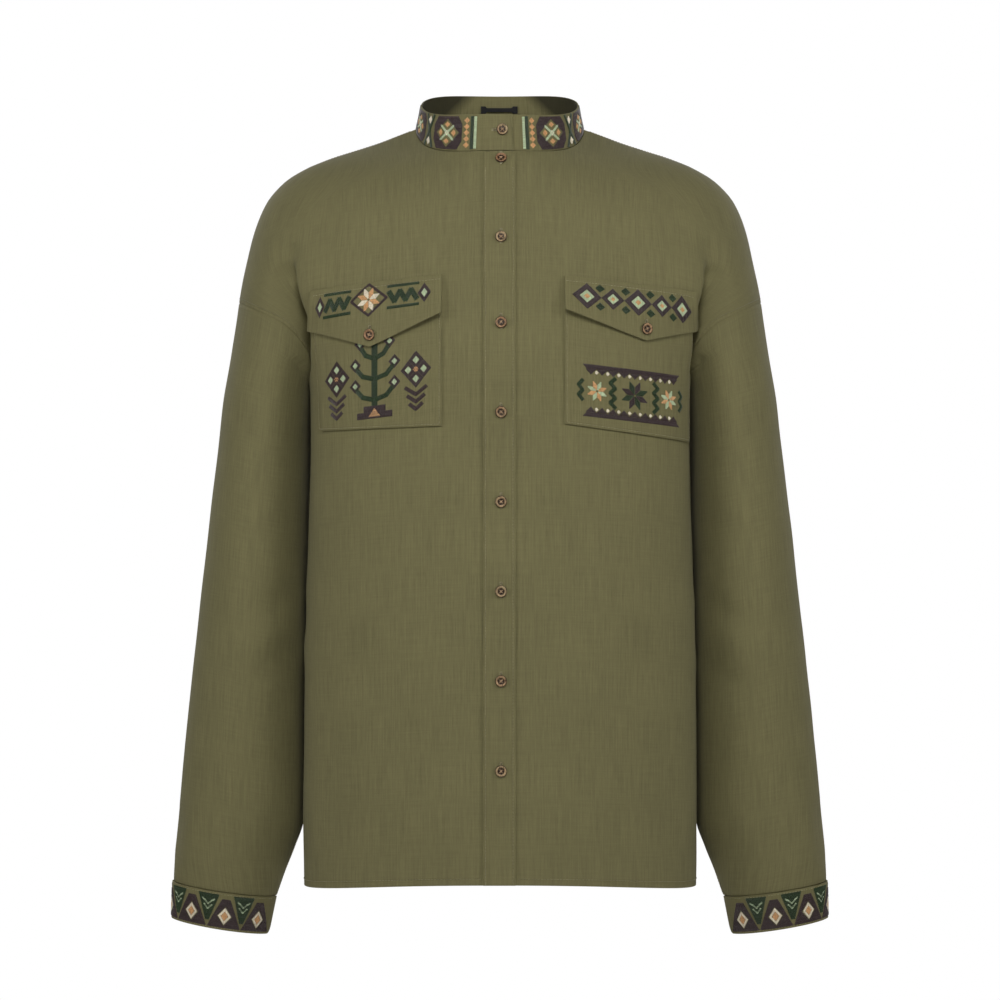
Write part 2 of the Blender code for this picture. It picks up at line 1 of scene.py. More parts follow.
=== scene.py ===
"""The finish of an embroidered shirt: its cloth, seams, embroidery, buttons and hanger loop.

The sizes below are in millimetres and MM turns them into metres. The origin is at the base of the
neck, +Z is up and the front faces -Y. The wearer's right side is at -X. The cloth follows the same
rings as the solids: over the shoulders a ring is one oval, and below them it is the torso's lobe
and the arm's, which part at the armpit.
"""

import math
import random
from bisect import bisect_right
from functools import lru_cache
from typing import NamedTuple

import bpy
import numpy as np
from mathutils import Matrix, Vector, noise


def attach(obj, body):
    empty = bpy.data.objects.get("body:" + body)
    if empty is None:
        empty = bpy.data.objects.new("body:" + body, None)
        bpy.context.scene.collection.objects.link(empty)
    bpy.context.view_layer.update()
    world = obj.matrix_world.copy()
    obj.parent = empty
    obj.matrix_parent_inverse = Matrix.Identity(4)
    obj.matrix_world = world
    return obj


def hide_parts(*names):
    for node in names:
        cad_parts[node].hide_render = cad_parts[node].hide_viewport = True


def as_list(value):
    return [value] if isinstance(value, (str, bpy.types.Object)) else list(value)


MM = 0.001
BODY = "root"

# Thickness of the cloth, folded or single, and the gaps between what lies on what
WALL = 1.2
SHIRTING = 0.75
COLLAR_WALL = 1.8
CUFF_WALL = 1.6
BAG_WALL = 1.0
FLAP_WALL = 1.1
TAPE_WALL = 1.0
THIN_EDGE = 0.25
BAND_EDGE = 0.6
TAPE_EDGE = 0.2
LAID_GAP = 0.6
POCKET_GAP = 1.0

# Seam at the armhole, where the sleeve turns in under the body's edge
SEAM_GAP = 0.16
SEAM_UNDER = 3.5
SEAM_DEPTH = 0.7
SEAM_TURN = 0.3
SEAM_FALL = 2.2

# Heights, taken at the side
NECK_LEVEL = 11.0
CREASE_TOP = -90.0
CREASE_FULL = -180.0
CREASE_CLOSES = 42.0
DROP_SHOULDER = -163.0
ARMPIT = -260.0
HEM = -740.0
HEM_FOLD = 6.2
HEM_SEAM = 6.4
CUFF_TOP = -747.0
ARMHOLE_SLOPE = 0.26
ARMHOLE_POWER = 13

# Angles round a ring, from the centre front
SHOULDER_CREASE = 55.0
SIDE_SEAM = 100.0
CLEAR_IN_FRONT = 45.0
CLEAR_BEHIND = 150.0

# Search for a place on the front
CHEST_HALF = 196.0
FRONT_FALL = 30.0
WIDEST_COURSE = 0.895
COURSE_STEP = 0.01
LONGEST_DROP = 25.0
LONGEST_TURN = 0.1
NEAR_ENOUGH = 0.01
TRIES = 14
HALVINGS = 24

# Front opening
PLACKET_EDGES = (-16.0, 15.0)
RIGHT_FRONT_EDGE = -13.2
LEFT_FRONT_EDGE = -12.2

# Collar and cuffs
COLLAR_OVER_X = 13.0
COLLAR_UNDER_X = -14.0
COLLAR_TUCK_FROM = -300.0
COLLAR_TUCK = 35.0
COLLAR_HEIGHT = 36.0
COLLAR_FOOT = 0.012
CUFF_FRONT_END = 172.0
CUFF_BACK_END = -212.0
CUFF_ROUNDED = 12
CUFF_CORNER = 9.0
CUFF_TUCK_FROM = -135.0
CUFF_TUCK = 45.0
CUFF_HEIGHT = 36.8

# Pockets
BAG_BELOW_FLAP = 11.0
FLAP_OVER = 3.0
FLAP_STEP = 9.0
FLAP_STAND = 2.2
FLAP_HEIGHT = 60.0
FLAP_SPRING = 5.6
FLAP_HELD = 10.0
FLAP_BUTTON_RISE = 11.8

# Buttons
BUTTON_GAP = 0.4
BUTTON_X = 1.0
BUTTON_HEIGHTS = (-29.0, -107.0, -190.0, -275.8, -361.6, -447.4, -533.2, -619.0)
COLLAR_BUTTON = (2.4, 1.4)

# Camera, in metres, and its lens in millimetres
CAMERA_AWAY = 3.2
CAMERA_HEIGHT = -0.36
LENS = 115.6
SENSOR = 36

# Floor, in metres
FLOOR_HEIGHT = -1.4
FLOOR_RADIUS = 3.0
FLOOR_GLOW = 0.93
FLOOR_PLAIN = 0.72

# Light
NEAR_POWER = 10.4
BESIDE_POWER = 8.2
FAR_POWER = 17.0
BACK_POWER = 34.0
WORLD_LIGHT = 0.1


class Profile(NamedTuple):
    """Centre front and centre back of a ring."""

    level: float
    y_front: float
    z_front: float
    y_back: float
    z_back: float


class Shoulder(NamedTuple):
    """The oval of a ring over the shoulders.

    Lift 1 tilts it like a neckline, and 0 drapes it over a ridge.
    """

    level: float
    half: float
    y_side: float = 15.0
    power: float = 2.2
    lift: float = 0.0


class Torso(NamedTuple):
    """The torso's lobe of a ring."""

    level: float
    half: float
    y_side: float
    power: float


class Arm(NamedTuple):
    """The arm's lobe of a ring, and the sleeve below the armpit. Tilt lifts its outer side."""

    level: float
    outer: float
    inner: float
    y_mid: float
    depth: float
    tilt: float


class Band(NamedTuple):
    """One edge of the collar, as heights and distances from the neck's axis."""

    half: float
    y_side: float
    z_side: float
    y_front: float
    z_front: float
    y_back: float
    z_back: float


class Pocket(NamedTuple):
    """A patch pocket and its flap. X runs away from the centre front, and every height is negative."""

    side: int
    inner_x: float
    outer_x: float
    flap_inner_top: float
    flap_outer_top: float
    flap_inner_low: float
    flap_outer_low: float
    point_x: float
    point_z: float
    bag_inner_low: float
    bag_outer_low: float
    bag_taper: float


PROFILES = [
    Profile(11.0, -70.0, -19.5, 60.0, 13.0),
    Profile(5.5, -79.0, -34.0, 71.0, 3.0),
    Profile(-2.5, -87.0, -52.0, 83.0, -12.0),
    Profile(-10.5, -94.0, -74.0, 93.0, -31.0),
    Profile(-18.5, -101.0, -98.0, 101.0, -52.0),
    Profile(-28.5, -107.0, -120.0, 107.5, -74.0),
    Profile(-42.5, -112.0, -142.0, 113.0, -98.0),
    Profile(-64.5, -116.0, -161.0, 117.0, -122.0),
    Profile(-94.0, -119.5, -178.0, 119.5, -146.0),
    Profile(-124.0, -122.0, -195.0, 121.0, -169.0),
    Profile(-154.0, -124.0, -211.0, 122.0, -191.0),
    Profile(-184.5, -125.3, -226.0, 122.5, -212.0),
    Profile(-215.0, -126.3, -240.0, 122.5, -232.0),
    Profile(-240.0, -127.0, -251.0, 122.0, -247.0),
    Profile(-260.0, -127.0, -260.5, 121.5, -260.0),
    Profile(-300.0, -127.0, -299.0, 119.5, -300.0),
    Profile(-345.0, -127.0, -343.0, 116.5, -345.0),
    Profile(-400.0, -127.0, -397.0, 113.5, -400.0),
    Profile(-460.0, -127.5, -456.0, 112.5, -460.0),
    Profile(-520.0, -129.0, -514.5, 113.5, -520.0),
    Profile(-580.0, -131.0, -572.5, 116.0, -580.0),
    Profile(-640.0, -133.0, -631.0, 118.5, -640.0),
    Profile(-695.0, -135.0, -684.0, 121.0, -695.0),
    Profile(-740.0, -136.0, -728.0, 123.0, -740.0),
]

SHOULDERS = [
    Shoulder(11.0, 83.9, 15.0, 2.0, 1.0),
    Shoulder(5.5, 98.5, 15.0, 2.0, 0.8),
    Shoulder(-2.5, 119.5, 15.0, 2.0, 0.5),
    Shoulder(-10.5, 144.5, 15.0, 2.05, 0.25),
    Shoulder(-18.5, 169.3, 15.0, 2.1, 0.1),
    Shoulder(-28.5, 192.8, 15.0, 2.15),
    Shoulder(-42.5, 215.3),
    Shoulder(-64.5, 234.2),
    Shoulder(-94.0, 246.2),
    Shoulder(-124.0, 253.2),
    Shoulder(-154.0, 259.3),
    Shoulder(-184.5, 263.5),
    Shoulder(-215.0, 268.6),
    Shoulder(-240.0, 272.9),
    Shoulder(-260.0, 276.0),
]

TORSOS = [
    Torso(-94.0, 226.0, -6.0, 2.25),
    Torso(-124.0, 214.0, -10.0, 2.3),
    Torso(-154.0, 204.0, -14.0, 2.35),
    Torso(-184.5, 198.0, -17.0, 2.4),
    Torso(-215.0, 191.5, -19.0, 2.4),
    Torso(-240.0, 188.5, -20.0, 2.4),
    Torso(-260.0, 187.5, -20.0, 2.4),
    Torso(-300.0, 187.0, -20.0, 2.4),
    Torso(-345.0, 187.8, -20.0, 2.4),
    Torso(-400.0, 189.5, -19.0, 2.4),
    Torso(-460.0, 191.2, -18.0, 2.35),
    Torso(-520.0, 192.4, -17.0, 2.3),
    Torso(-580.0, 193.5, -16.0, 2.3),
    Torso(-640.0, 194.2, -16.0, 2.3),
    Torso(-695.0, 194.4, -16.0, 2.3),
    Torso(-740.0, 194.0, -16.0, 2.3),
]

ARMS = [
    Arm(-94.0, 246.2, 118.0, 12.0, 78.0, 0.0),
    Arm(-124.0, 253.2, 136.0, 12.0, 79.0, 0.0),
    Arm(-154.0, 259.3, 152.0, 13.0, 79.0, 0.0),
    Arm(-184.5, 263.5, 164.0, 13.0, 78.5, 0.0),
    Arm(-215.0, 268.6, 175.5, 14.0, 78.0, 0.0),
    Arm(-240.0, 272.9, 182.5, 14.0, 77.0, 0.0),
    Arm(-260.0, 276.0, 186.3, 14.0, 76.0, 0.0),
    Arm(-300.0, 280.8, 188.8, 16.0, 75.0, 0.0),
    Arm(-380.0, 290.5, 190.8, 18.0, 72.5, 0.5),
    Arm(-460.0, 299.6, 192.3, 19.0, 69.5, 1.0),
    Arm(-540.0, 308.4, 193.5, 18.5, 65.5, 2.0),
    Arm(-620.0, 316.6, 194.6, 17.0, 60.5, 3.5),
    Arm(-675.0, 321.2, 196.5, 15.5, 56.0, 5.0),
    Arm(-700.0, 323.6, 205.0, 14.5, 51.5, 6.0),
    Arm(-722.0, 325.6, 214.0, 13.5, 46.5, 7.0),
    Arm(-747.0, 326.4, 223.0, 12.5, 40.0, 7.5),
]

CUFF_EDGES = [
    Arm(-747.8, 327.8, 222.3, 12.5, 40.5, 7.5),
    Arm(-784.5, 328.4, 230.0, 11.5, 37.0, 8.0),
]

COLLAR_BASE = Band(83.9, 15.0, 11.0, -70.0, -19.5, 60.0, 13.0)
COLLAR_TOP = Band(78.8, 12.0, 35.0, -64.0, 17.3, 55.0, 49.0)

POCKETS = {
    "right": Pocket(
        -1, 56.0, 180.0, -143.0, -157.0, -182.0, -196.0, 123.5, -213.0, -289.0, -293.5, 8.0
    ),
    "left": Pocket(
        1, 62.0, 185.0, -144.5, -157.5, -178.5, -195.5, 139.0, -206.5, -287.0, -303.5, 2.0
    ),
}


def smooth(share):
    """0 to 1 with level ends."""
    share = min(max(share, 0.0), 1.0)
    return share * share * (3 - 2 * share)


def slopes_of(levels, values):
    """A slope for each value, which never makes the curve between two rows run past them."""
    rises = [(b - a) / (q - p) for a, b, p, q in zip(values, values[1:], levels, levels[1:])]
    middle = [0.0 if a * b <= 0 else 2 * a * b / (a + b) for a, b in zip(rises, rises[1:])]
    return [rises[0], *middle, rises[-1]]


def reader(rows):
    """A function that gives the table's row at any level, smooth between the rows that are written."""
    rows = sorted(rows, key=lambda row: row.level)
    levels = [row.level for row in rows]
    columns = list(zip(*rows))
    slopes = [slopes_of(levels, column) for column in columns]

    @lru_cache(maxsize=4096)
    def read(level):
        level = min(max(level, levels[0]), levels[-1])
        low = min(bisect_right(levels, level), len(levels) - 1) - 1
        span = levels[low + 1] - levels[low]
        t = (level - levels[low]) / span
        start, end = (1 + 2 * t) * (1 - t) ** 2, t * t * (3 - 2 * t)
        out, into = span * t * (1 - t) ** 2, span * t * t * (t - 1)
        values = [
            start * c[low] + end * c[low + 1] + out * s[low] + into * s[low + 1]
            for c, s in zip(columns, slopes)
        ]
        return type(rows[0])(*values)

    return read


profile_at = reader(PROFILES)
shoulder_at = reader(SHOULDERS)
torso_at = reader(TORSOS)
arm_at = reader(ARMS)


def ring_height(level, angle):
    """Height of a ring at an angle: it falls or rises from its side to its centre front or back."""
    profile = profile_at(level)
    lift = shoulder_at(level).lift
    cosine = math.cos(math.radians(angle))
    end = profile.z_front if cosine > 0 else profile.z_back
    cosine = abs(cosine)
    return level + (end - level) * ((1 - lift) * cosine**2 + lift * math.sin(cosine * math.pi / 2))


def on_ring(ring, level, angle):
    """Point of a ring with its own depth in front and behind. Angle 0 is the centre front."""
    profile = profile_at(level)
    y_end = profile.y_front if angle < 90 else profile.y_back
    sine = math.sin(math.radians(angle))
    cosine = abs(math.cos(math.radians(angle)))
    x = ring.half * math.copysign(abs(sine) ** (2 / ring.power), sine)
    y = ring.y_side + (y_end - ring.y_side) * cosine ** (2 / ring.power)
    return Vector((x, y, ring_height(level, angle)))


def on_oval(level, angle):
    """Point of the one oval that goes round both torso and arms."""
    return on_ring(shoulder_at(level), level, angle)


def on_torso(level, angle):
    return on_ring(torso_at(level), level, angle)


def on_tube(ring, angle):
    """Point of an arm's ring. Angle 0 is its outer side, 90 its front and 180 its inner side."""
    half = (ring.outer - ring.inner) / 2
    turn = math.radians(angle)
    x = ring.outer - half + half * math.cos(turn)
    y = ring.y_mid - ring.depth * math.sin(turn)
    return Vector((x, y, ring.level + ring.tilt * math.cos(turn)))


@lru_cache(maxsize=4096)
def crease_angles(level, behind):
    """Where the torso's lobe meets the arm's: the angle on the torso, then that on the arm."""
    ring = arm_at(level)
    half = (ring.outer - ring.inner) / 2

    def on_arm(angle):
        point = on_torso(level, angle)
        return Vector(((point.x - ring.outer + half) / half, (ring.y_mid - point.y) / ring.depth))

    clear, within = (CLEAR_BEHIND if behind else CLEAR_IN_FRONT), SIDE_SEAM
    parted = -180.0 if behind else 180.0
    if on_arm(within).length > 1:
        return within, parted
    for _ in range(HALVINGS):
        middle = (clear + within) / 2
        if on_arm(middle).length > 1:
            clear = middle
        else:
            within = middle
    place = on_arm(within)
    angle = math.degrees(math.atan2(place.y, place.x))
    if angle * parted < 0:
        angle = parted
    closed = smooth((ARMPIT + CREASE_CLOSES - level) / CREASE_CLOSES)
    return within + (SIDE_SEAM - within) * closed, angle + (parted - angle) * closed


def on_body(level, course):
    """Point of the body's cloth on the left side, in millimetres.

    Course 0 is the centre front, 1 the front crease, 2 the ridge of the shoulder and arm, 3 the
    back crease and 4 the centre back. Below the armpit 1 and 3 are the side seam.
    """
    behind = course > 2
    reach = 4 - course if behind else course
    if level <= ARMPIT:
        angle = 180 - reach * (180 - SIDE_SEAM) if behind else reach * SIDE_SEAM
        return on_torso(level, angle)
    if reach <= 1:
        oval_angle = SHOULDER_CREASE * reach
    else:
        oval_angle = SHOULDER_CREASE + (90 - SHOULDER_CREASE) * (reach - 1)
    oval = on_oval(level, 180 - oval_angle if behind else oval_angle)
    if level >= CREASE_TOP:
        return oval
    torso_angle, arm_angle = crease_angles(level, behind)
    if reach <= 1:
        angle = 180 - reach * (180 - torso_angle) if behind else reach * torso_angle
        parted = on_torso(level, angle)
    else:
        parted = on_tube(arm_at(level), (2 - reach) * arm_angle)
    parted.z = oval.z
    return oval.lerp(parted, smooth((CREASE_TOP - level) / (CREASE_TOP - CREASE_FULL)))


def on_sleeve(level, turn):
    """Point of the left sleeve. Turn 0 is outside, 1 and -1 inside, by way of front and back."""
    if level > ARMPIT:
        return on_body(level, 2 - turn)
    return on_tube(arm_at(level), 180 * turn)


def armhole_level(turn):
    """Level of the armhole seam: low on the shoulder outside, then down the crease to the armpit."""
    fall = ARMHOLE_SLOPE * turn**2 + (1 - ARMHOLE_SLOPE) * abs(turn) ** ARMHOLE_POWER
    return DROP_SHOULDER + (ARMPIT - DROP_SHOULDER) * fall


def sideways_at(surface, level, course):
    """A short way along a surface, in the direction of its courses."""
    return surface(level, course + 2 * COURSE_STEP) - surface(level, course - 2 * COURSE_STEP)


def normal_to(surface, level, course):
    """Outward unit normal of a surface of the left side."""
    down = surface(level - 1, course) - surface(level + 1, course)
    return down.cross(sideways_at(surface, level, course)).normalized()


def limited(value, most):
    return max(-most, min(most, value))


def find_front(x, z):
    """Level and course of the left front's point at this x and z."""
    level = z + FRONT_FALL
    course = math.copysign(math.degrees(math.asin(min(1, abs(x) / CHEST_HALF))) / SIDE_SEAM, x)
    for _ in range(TRIES):
        place = on_body(level, course)
        by_level = (on_body(level - 1, course) - place) * -1
        by_course = (on_body(level, course + COURSE_STEP) - place) * (1 / COURSE_STEP)
        dx, dz = x - place.x, z - place.z
        turn = by_level.x * by_course.z - by_course.x * by_level.z
        level += limited((dx * by_course.z - by_course.x * dz) / turn, LONGEST_DROP)
        course += limited((by_level.x * dz - dx * by_level.z) / turn, LONGEST_TURN)
        course = min(course, 1.0 if level > ARMPIT else WIDEST_COURSE)
        if abs(dx) + abs(dz) < NEAR_ENOUGH:
            break
    return level, course


def above_front(side, x, z, out):
    """Point this far out from one side's front, and its normal. X runs away from the centre."""
    level, course = find_front(x, z)
    normal = normal_to(on_body, level, course)
    point = on_body(level, course) + normal * out
    mirror = Vector((side, 1, 1))
    return point * mirror, normal * mirror


def placed(name, data):
    """A new object of the scene."""
    piece = bpy.data.objects.new(name, data)
    bpy.context.scene.collection.objects.link(piece)
    return piece


def modify(piece, kind, **settings):
    """Adds a modifier with these settings."""
    modifier = piece.modifiers.new(kind.lower(), kind)
    for name, value in settings.items():
        setattr(modifier, name, value)


def srgb(red, green, blue):
    """Linear colour of a shade given in ordinary 0 to 255 values."""

    def linear(value):
        share = value / 255
        return share / 12.92 if share <= 0.04045 else ((share + 0.055) / 1.055) ** 2.4

    return linear(red), linear(green), linear(blue)


OLIVE = srgb(114, 109, 74)
SEWING_OLIVE = srgb(140, 132, 96)
SEAM_OLIVE = srgb(104, 98, 66)
SHELL_BROWN = srgb(168, 128, 92)
SHELL_CREAM = srgb(186, 166, 126)
SHELL_DARK = srgb(46, 27, 14)
SHANK_TAN = srgb(176, 146, 112)
TAPE_BLACK = srgb(20, 19, 19)
FLOOR_PALE = srgb(240, 239, 236)

THREADS = {
    "green": srgb(37, 56, 27),
    "brown": srgb(61, 46, 46),
    "mint": srgb(188, 204, 166),
    "cream": srgb(236, 226, 203),
    "tan": srgb(214, 165, 112),
}


# --------------------------------------------------------------------------------------------------
# Finishes

# Weave: the width of two yarns in millimetres, and how uneven they are
WEAVE_PITCH = 0.56
SLUB = 0.15

# Painted shade inside the collar's ends, in metres: how far they face in, and from where the painted
# shade darkens them
FACING_IN = -0.012
PAINTED_SHADE_FROM = 0.07
PAINTED_SHADE_FULL = 0.086
PAINTED_SHADE_ENDS = 0.78

TAPE_RIB = 0.9


class Value:
    """A number at a socket. Arithmetic on it adds Math nodes."""

    def __init__(self, finish, socket):
        self.finish = finish
        self.socket = socket

    def joined(self, operation, first, second):
        return self.finish.add("ShaderNodeMath", {"operation": operation}, {0: first, 1: second})

    def __add__(self, other):
        return self.joined("ADD", self, other)

    def __sub__(self, other):
        return self.joined("SUBTRACT", self, other)

    def __rsub__(self, other):
        return self.joined("SUBTRACT", other, self)

    def __mul__(self, other):
        return self.joined("MULTIPLY", self, other)

    __radd__ = __add__
    __rmul__ = __mul__


class Finish:
    """A material, and the nodes behind it."""

    def __init__(self, name, colour, roughness, sheen=0.0, specular=0.3):
        self.material = bpy.data.materials.new(name)
        self.material.use_nodes = True
        self.nodes = self.material.node_tree.nodes
        self.links = self.material.node_tree.links
        self.shader = self.nodes["Principled BSDF"]
        self.shader.inputs["Base Color"].default_value = (*colour, 1)
        self.shader.inputs["Roughness"].default_value = roughness
        self.shader.inputs["Sheen Weight"].default_value = sheen
        self.shader.inputs["Sheen Roughness"].default_value = 0.5
        self.shader.inputs["Specular IOR Level"].default_value = specular

    def fill(self, socket, value):
        if isinstance(value, Value):
            self.links.new(value.socket, socket)
        else:
            socket.default_value = value

    def add(self, kind, settings=(), inputs=(), output=0):
        """The value at an output of a new node."""
        node = self.nodes.new(kind)
        for name, setting in dict(settings).items():
            setattr(node, name, setting)
        for name, value in dict(inputs).items():
            self.fill(node.inputs[name], value)
        return Value(self, node.outputs[output])

    def cloth_map(self):
        """Distances along and down the cloth, in millimetres."""
        place = self.add("ShaderNodeUVMap", {"uv_map": "cloth"})
        split = self.nodes.new("ShaderNodeSeparateXYZ")
        self.links.new(place.socket, split.inputs[0])
        return Value(self, split.outputs["X"]) * (1 / MM), Value(self, split.outputs["Y"]) * (1 / MM)

    def object_place(self):
        return self.add("ShaderNodeTexCoord", output=3)

    def point(self, x, y, z=0.0):
        return self.add("ShaderNodeCombineXYZ", (), {"X": x, "Y": y, "Z": z})

    def share(self, value, low, high):
        """0 to 1 as the value goes from low to high."""
        inputs = {"Value": value, "From Min": low, "From Max": high}
        return self.add("ShaderNodeMapRange", (), inputs)

    def attribute(self, name):
        return self.add("ShaderNodeAttribute", {"attribute_name": name}, output=2)

    def cloud(self, vector, scale=1.0, detail=2.0):
        """Noise from 0 to 1."""
        inputs = {"Vector": vector, "Scale": scale, "Detail": detail, "Roughness": 0.55}
        return self.add("ShaderNodeTexNoise", {"noise_dimensions": "3D"}, inputs)

    def shaded(self, colour, amount):
        """The colour made lighter or darker by a number about 1."""
        grey = self.point(amount, amount, amount)
        return self.add("ShaderNodeVectorMath", {"operation": "MULTIPLY"}, {0: colour, 1: grey})

    def blended(self, first, second, share):
        inputs = {"Factor": share, 6: first, 7: second}
        return self.add("ShaderNodeMix", {"data_type": "RGBA"}, inputs, output=2)

    def bump(self, height, distance, strength=1.0):
        inputs = {"Height": height, "Distance": distance, "Strength": strength}
        normal = self.add("ShaderNodeBump", (), inputs)
        self.fill(self.shader.inputs["Normal"], normal)

    def colour_from(self, value):
        self.fill(self.shader.inputs["Base Color"], value)

    def roughness_from(self, value):
        self.fill(self.shader.inputs["Roughness"], value)


def sine(finish, value):
    return finish.add("ShaderNodeMath", {"operation": "SINE"}, {0: value})


def painted_shade_inner_ends(f):
    """Mask of the painted shade: 1 on the inner face of the collar towards its two ends, and 0
    elsewhere.
    """
    place = f.object_place()
    facing = f.add("ShaderNodeTexCoord", output=1)
    product = {"operation": "DOT_PRODUCT"}
    inward = f.add("ShaderNodeVectorMath", product, {0: place, 1: facing}, output=1)
    split = f.nodes.new("ShaderNodeSeparateXYZ")
    f.links.new(place.socket, split.inputs[0])
    away = f.add("ShaderNodeMath", {"operation": "ABSOLUTE"}, {0: Value(f, split.outputs["X"])})
    height = Value(f, split.outputs["Z"])
    return f.share(inward, 0.0, FACING_IN) * f.share(away + height, PAINTED_SHADE_FROM, PAINTED_SHADE_FULL)


def cloth_finish(name, colour, painted_shade_ends=0.0):
    """Plain weave with uneven yarns: long fine streaks down the cloth, fainter ones across it.

    The last argument is how much painted shade darkens the inner face towards the ends of the collar.
    """
    f = Finish(name, colour, roughness=0.88, sheen=0.04)
    u, v = f.cloth_map()
    streaks = f.cloud(f.point(u * 0.75, v * 0.022)) - 0.5
    fine = f.cloud(f.point(u * 2.1, v * 0.09, 7.0)) - 0.5
    across = f.cloud(f.point(u * 0.03, v * 0.9, 3.0)) - 0.5
    mottled = f.cloud(f.point(u * 0.02, v * 0.012, 11.0), detail=1.0) - 0.5
    shade = 1 + streaks * (4 * SLUB) + fine * (2.6 * SLUB) + across * (1.8 * SLUB) + mottled * SLUB
    # Painted shade: the collar's inner face is darker towards its ends
    if painted_shade_ends:
        shade = shade * (1 - painted_shade_inner_ends(f) * painted_shade_ends)
    f.colour_from(f.shaded((*colour,), shade))
    f.roughness_from(0.88 + streaks * 0.1)
    turn = math.pi / WEAVE_PITCH
    weave = sine(f, u * turn) * sine(f, v * turn)
    f.bump(weave * 0.5 + streaks * 1.6 + fine, distance=0.00011, strength=0.55)
    return f.material


def thread_finish(name, colour):
    """Twisted thread. Each stitch has its own shade."""
    f = Finish(name, colour, roughness=0.55, sheen=0.25)
    shade = f.attribute("shade")
    twist = f.cloud(f.object_place(), scale=1900.0)
    f.colour_from(f.shaded((*colour,), shade + (twist - 0.5) * 0.5))
    f.bump(twist, distance=0.00012, strength=0.5)
    return f.material


def shell_finish():
    """Turned and polished nutshell: two browns by turns, short dark fibres, and painted shade in the
    well and on the outer wall.
    """
    f = Finish("button_shell", SHELL_BROWN, roughness=0.42)
    place = f.object_place()
    along = f.add("ShaderNodeMapping", (), {"Vector": place, "Scale": (2600, 420, 420)})
    fibres = f.cloud(along, detail=3.0)
    clouds = f.cloud(place, scale=260.0)
    # Dark fibres, plus painted shade in the button's well and on its outer wall
    dark = f.share(fibres + clouds * 0.6, 0.68, 1.1) + f.attribute("painted_shade_well_and_edge")
    tint = f.share(f.cloud(place, scale=14.0), 0.4, 0.62)
    ground = f.blended((*SHELL_BROWN, 1), (*SHELL_CREAM, 1), tint)
    f.colour_from(f.blended(ground, (*SHELL_DARK, 1), dark))
    f.roughness_from(0.38 + clouds * 0.2)
    f.bump(fibres, distance=0.00005, strength=0.4)
    return f.material


def tape_finish():
    """Woven tape with ribs across it."""
    f = Finish("black_tape", TAPE_BLACK, roughness=0.7, sheen=0.15)
    u, v = f.cloth_map()
    ribs = sine(f, u * (2 * math.pi / TAPE_RIB)) * sine(f, v * (math.pi / TAPE_RIB))
    f.colour_from(f.shaded((*TAPE_BLACK,), 1 + ribs * 0.25))
    f.bump(ribs, distance=0.00015, strength=0.6)
    return f.material


# --------------------------------------------------------------------------------------------------
# Creases: soft troughs and ridges that every piece of cloth and thread follows


class Crease(NamedTuple):
    """A fold along a path on the body or a sleeve, given as levels and courses or turns.

    Depth above 0 is a ridge. A step has a smaller width of its own towards the centre front.
    """

    surface: str
    side: int
    width: float
    depth: float
    path: tuple
    step: float = 0.0


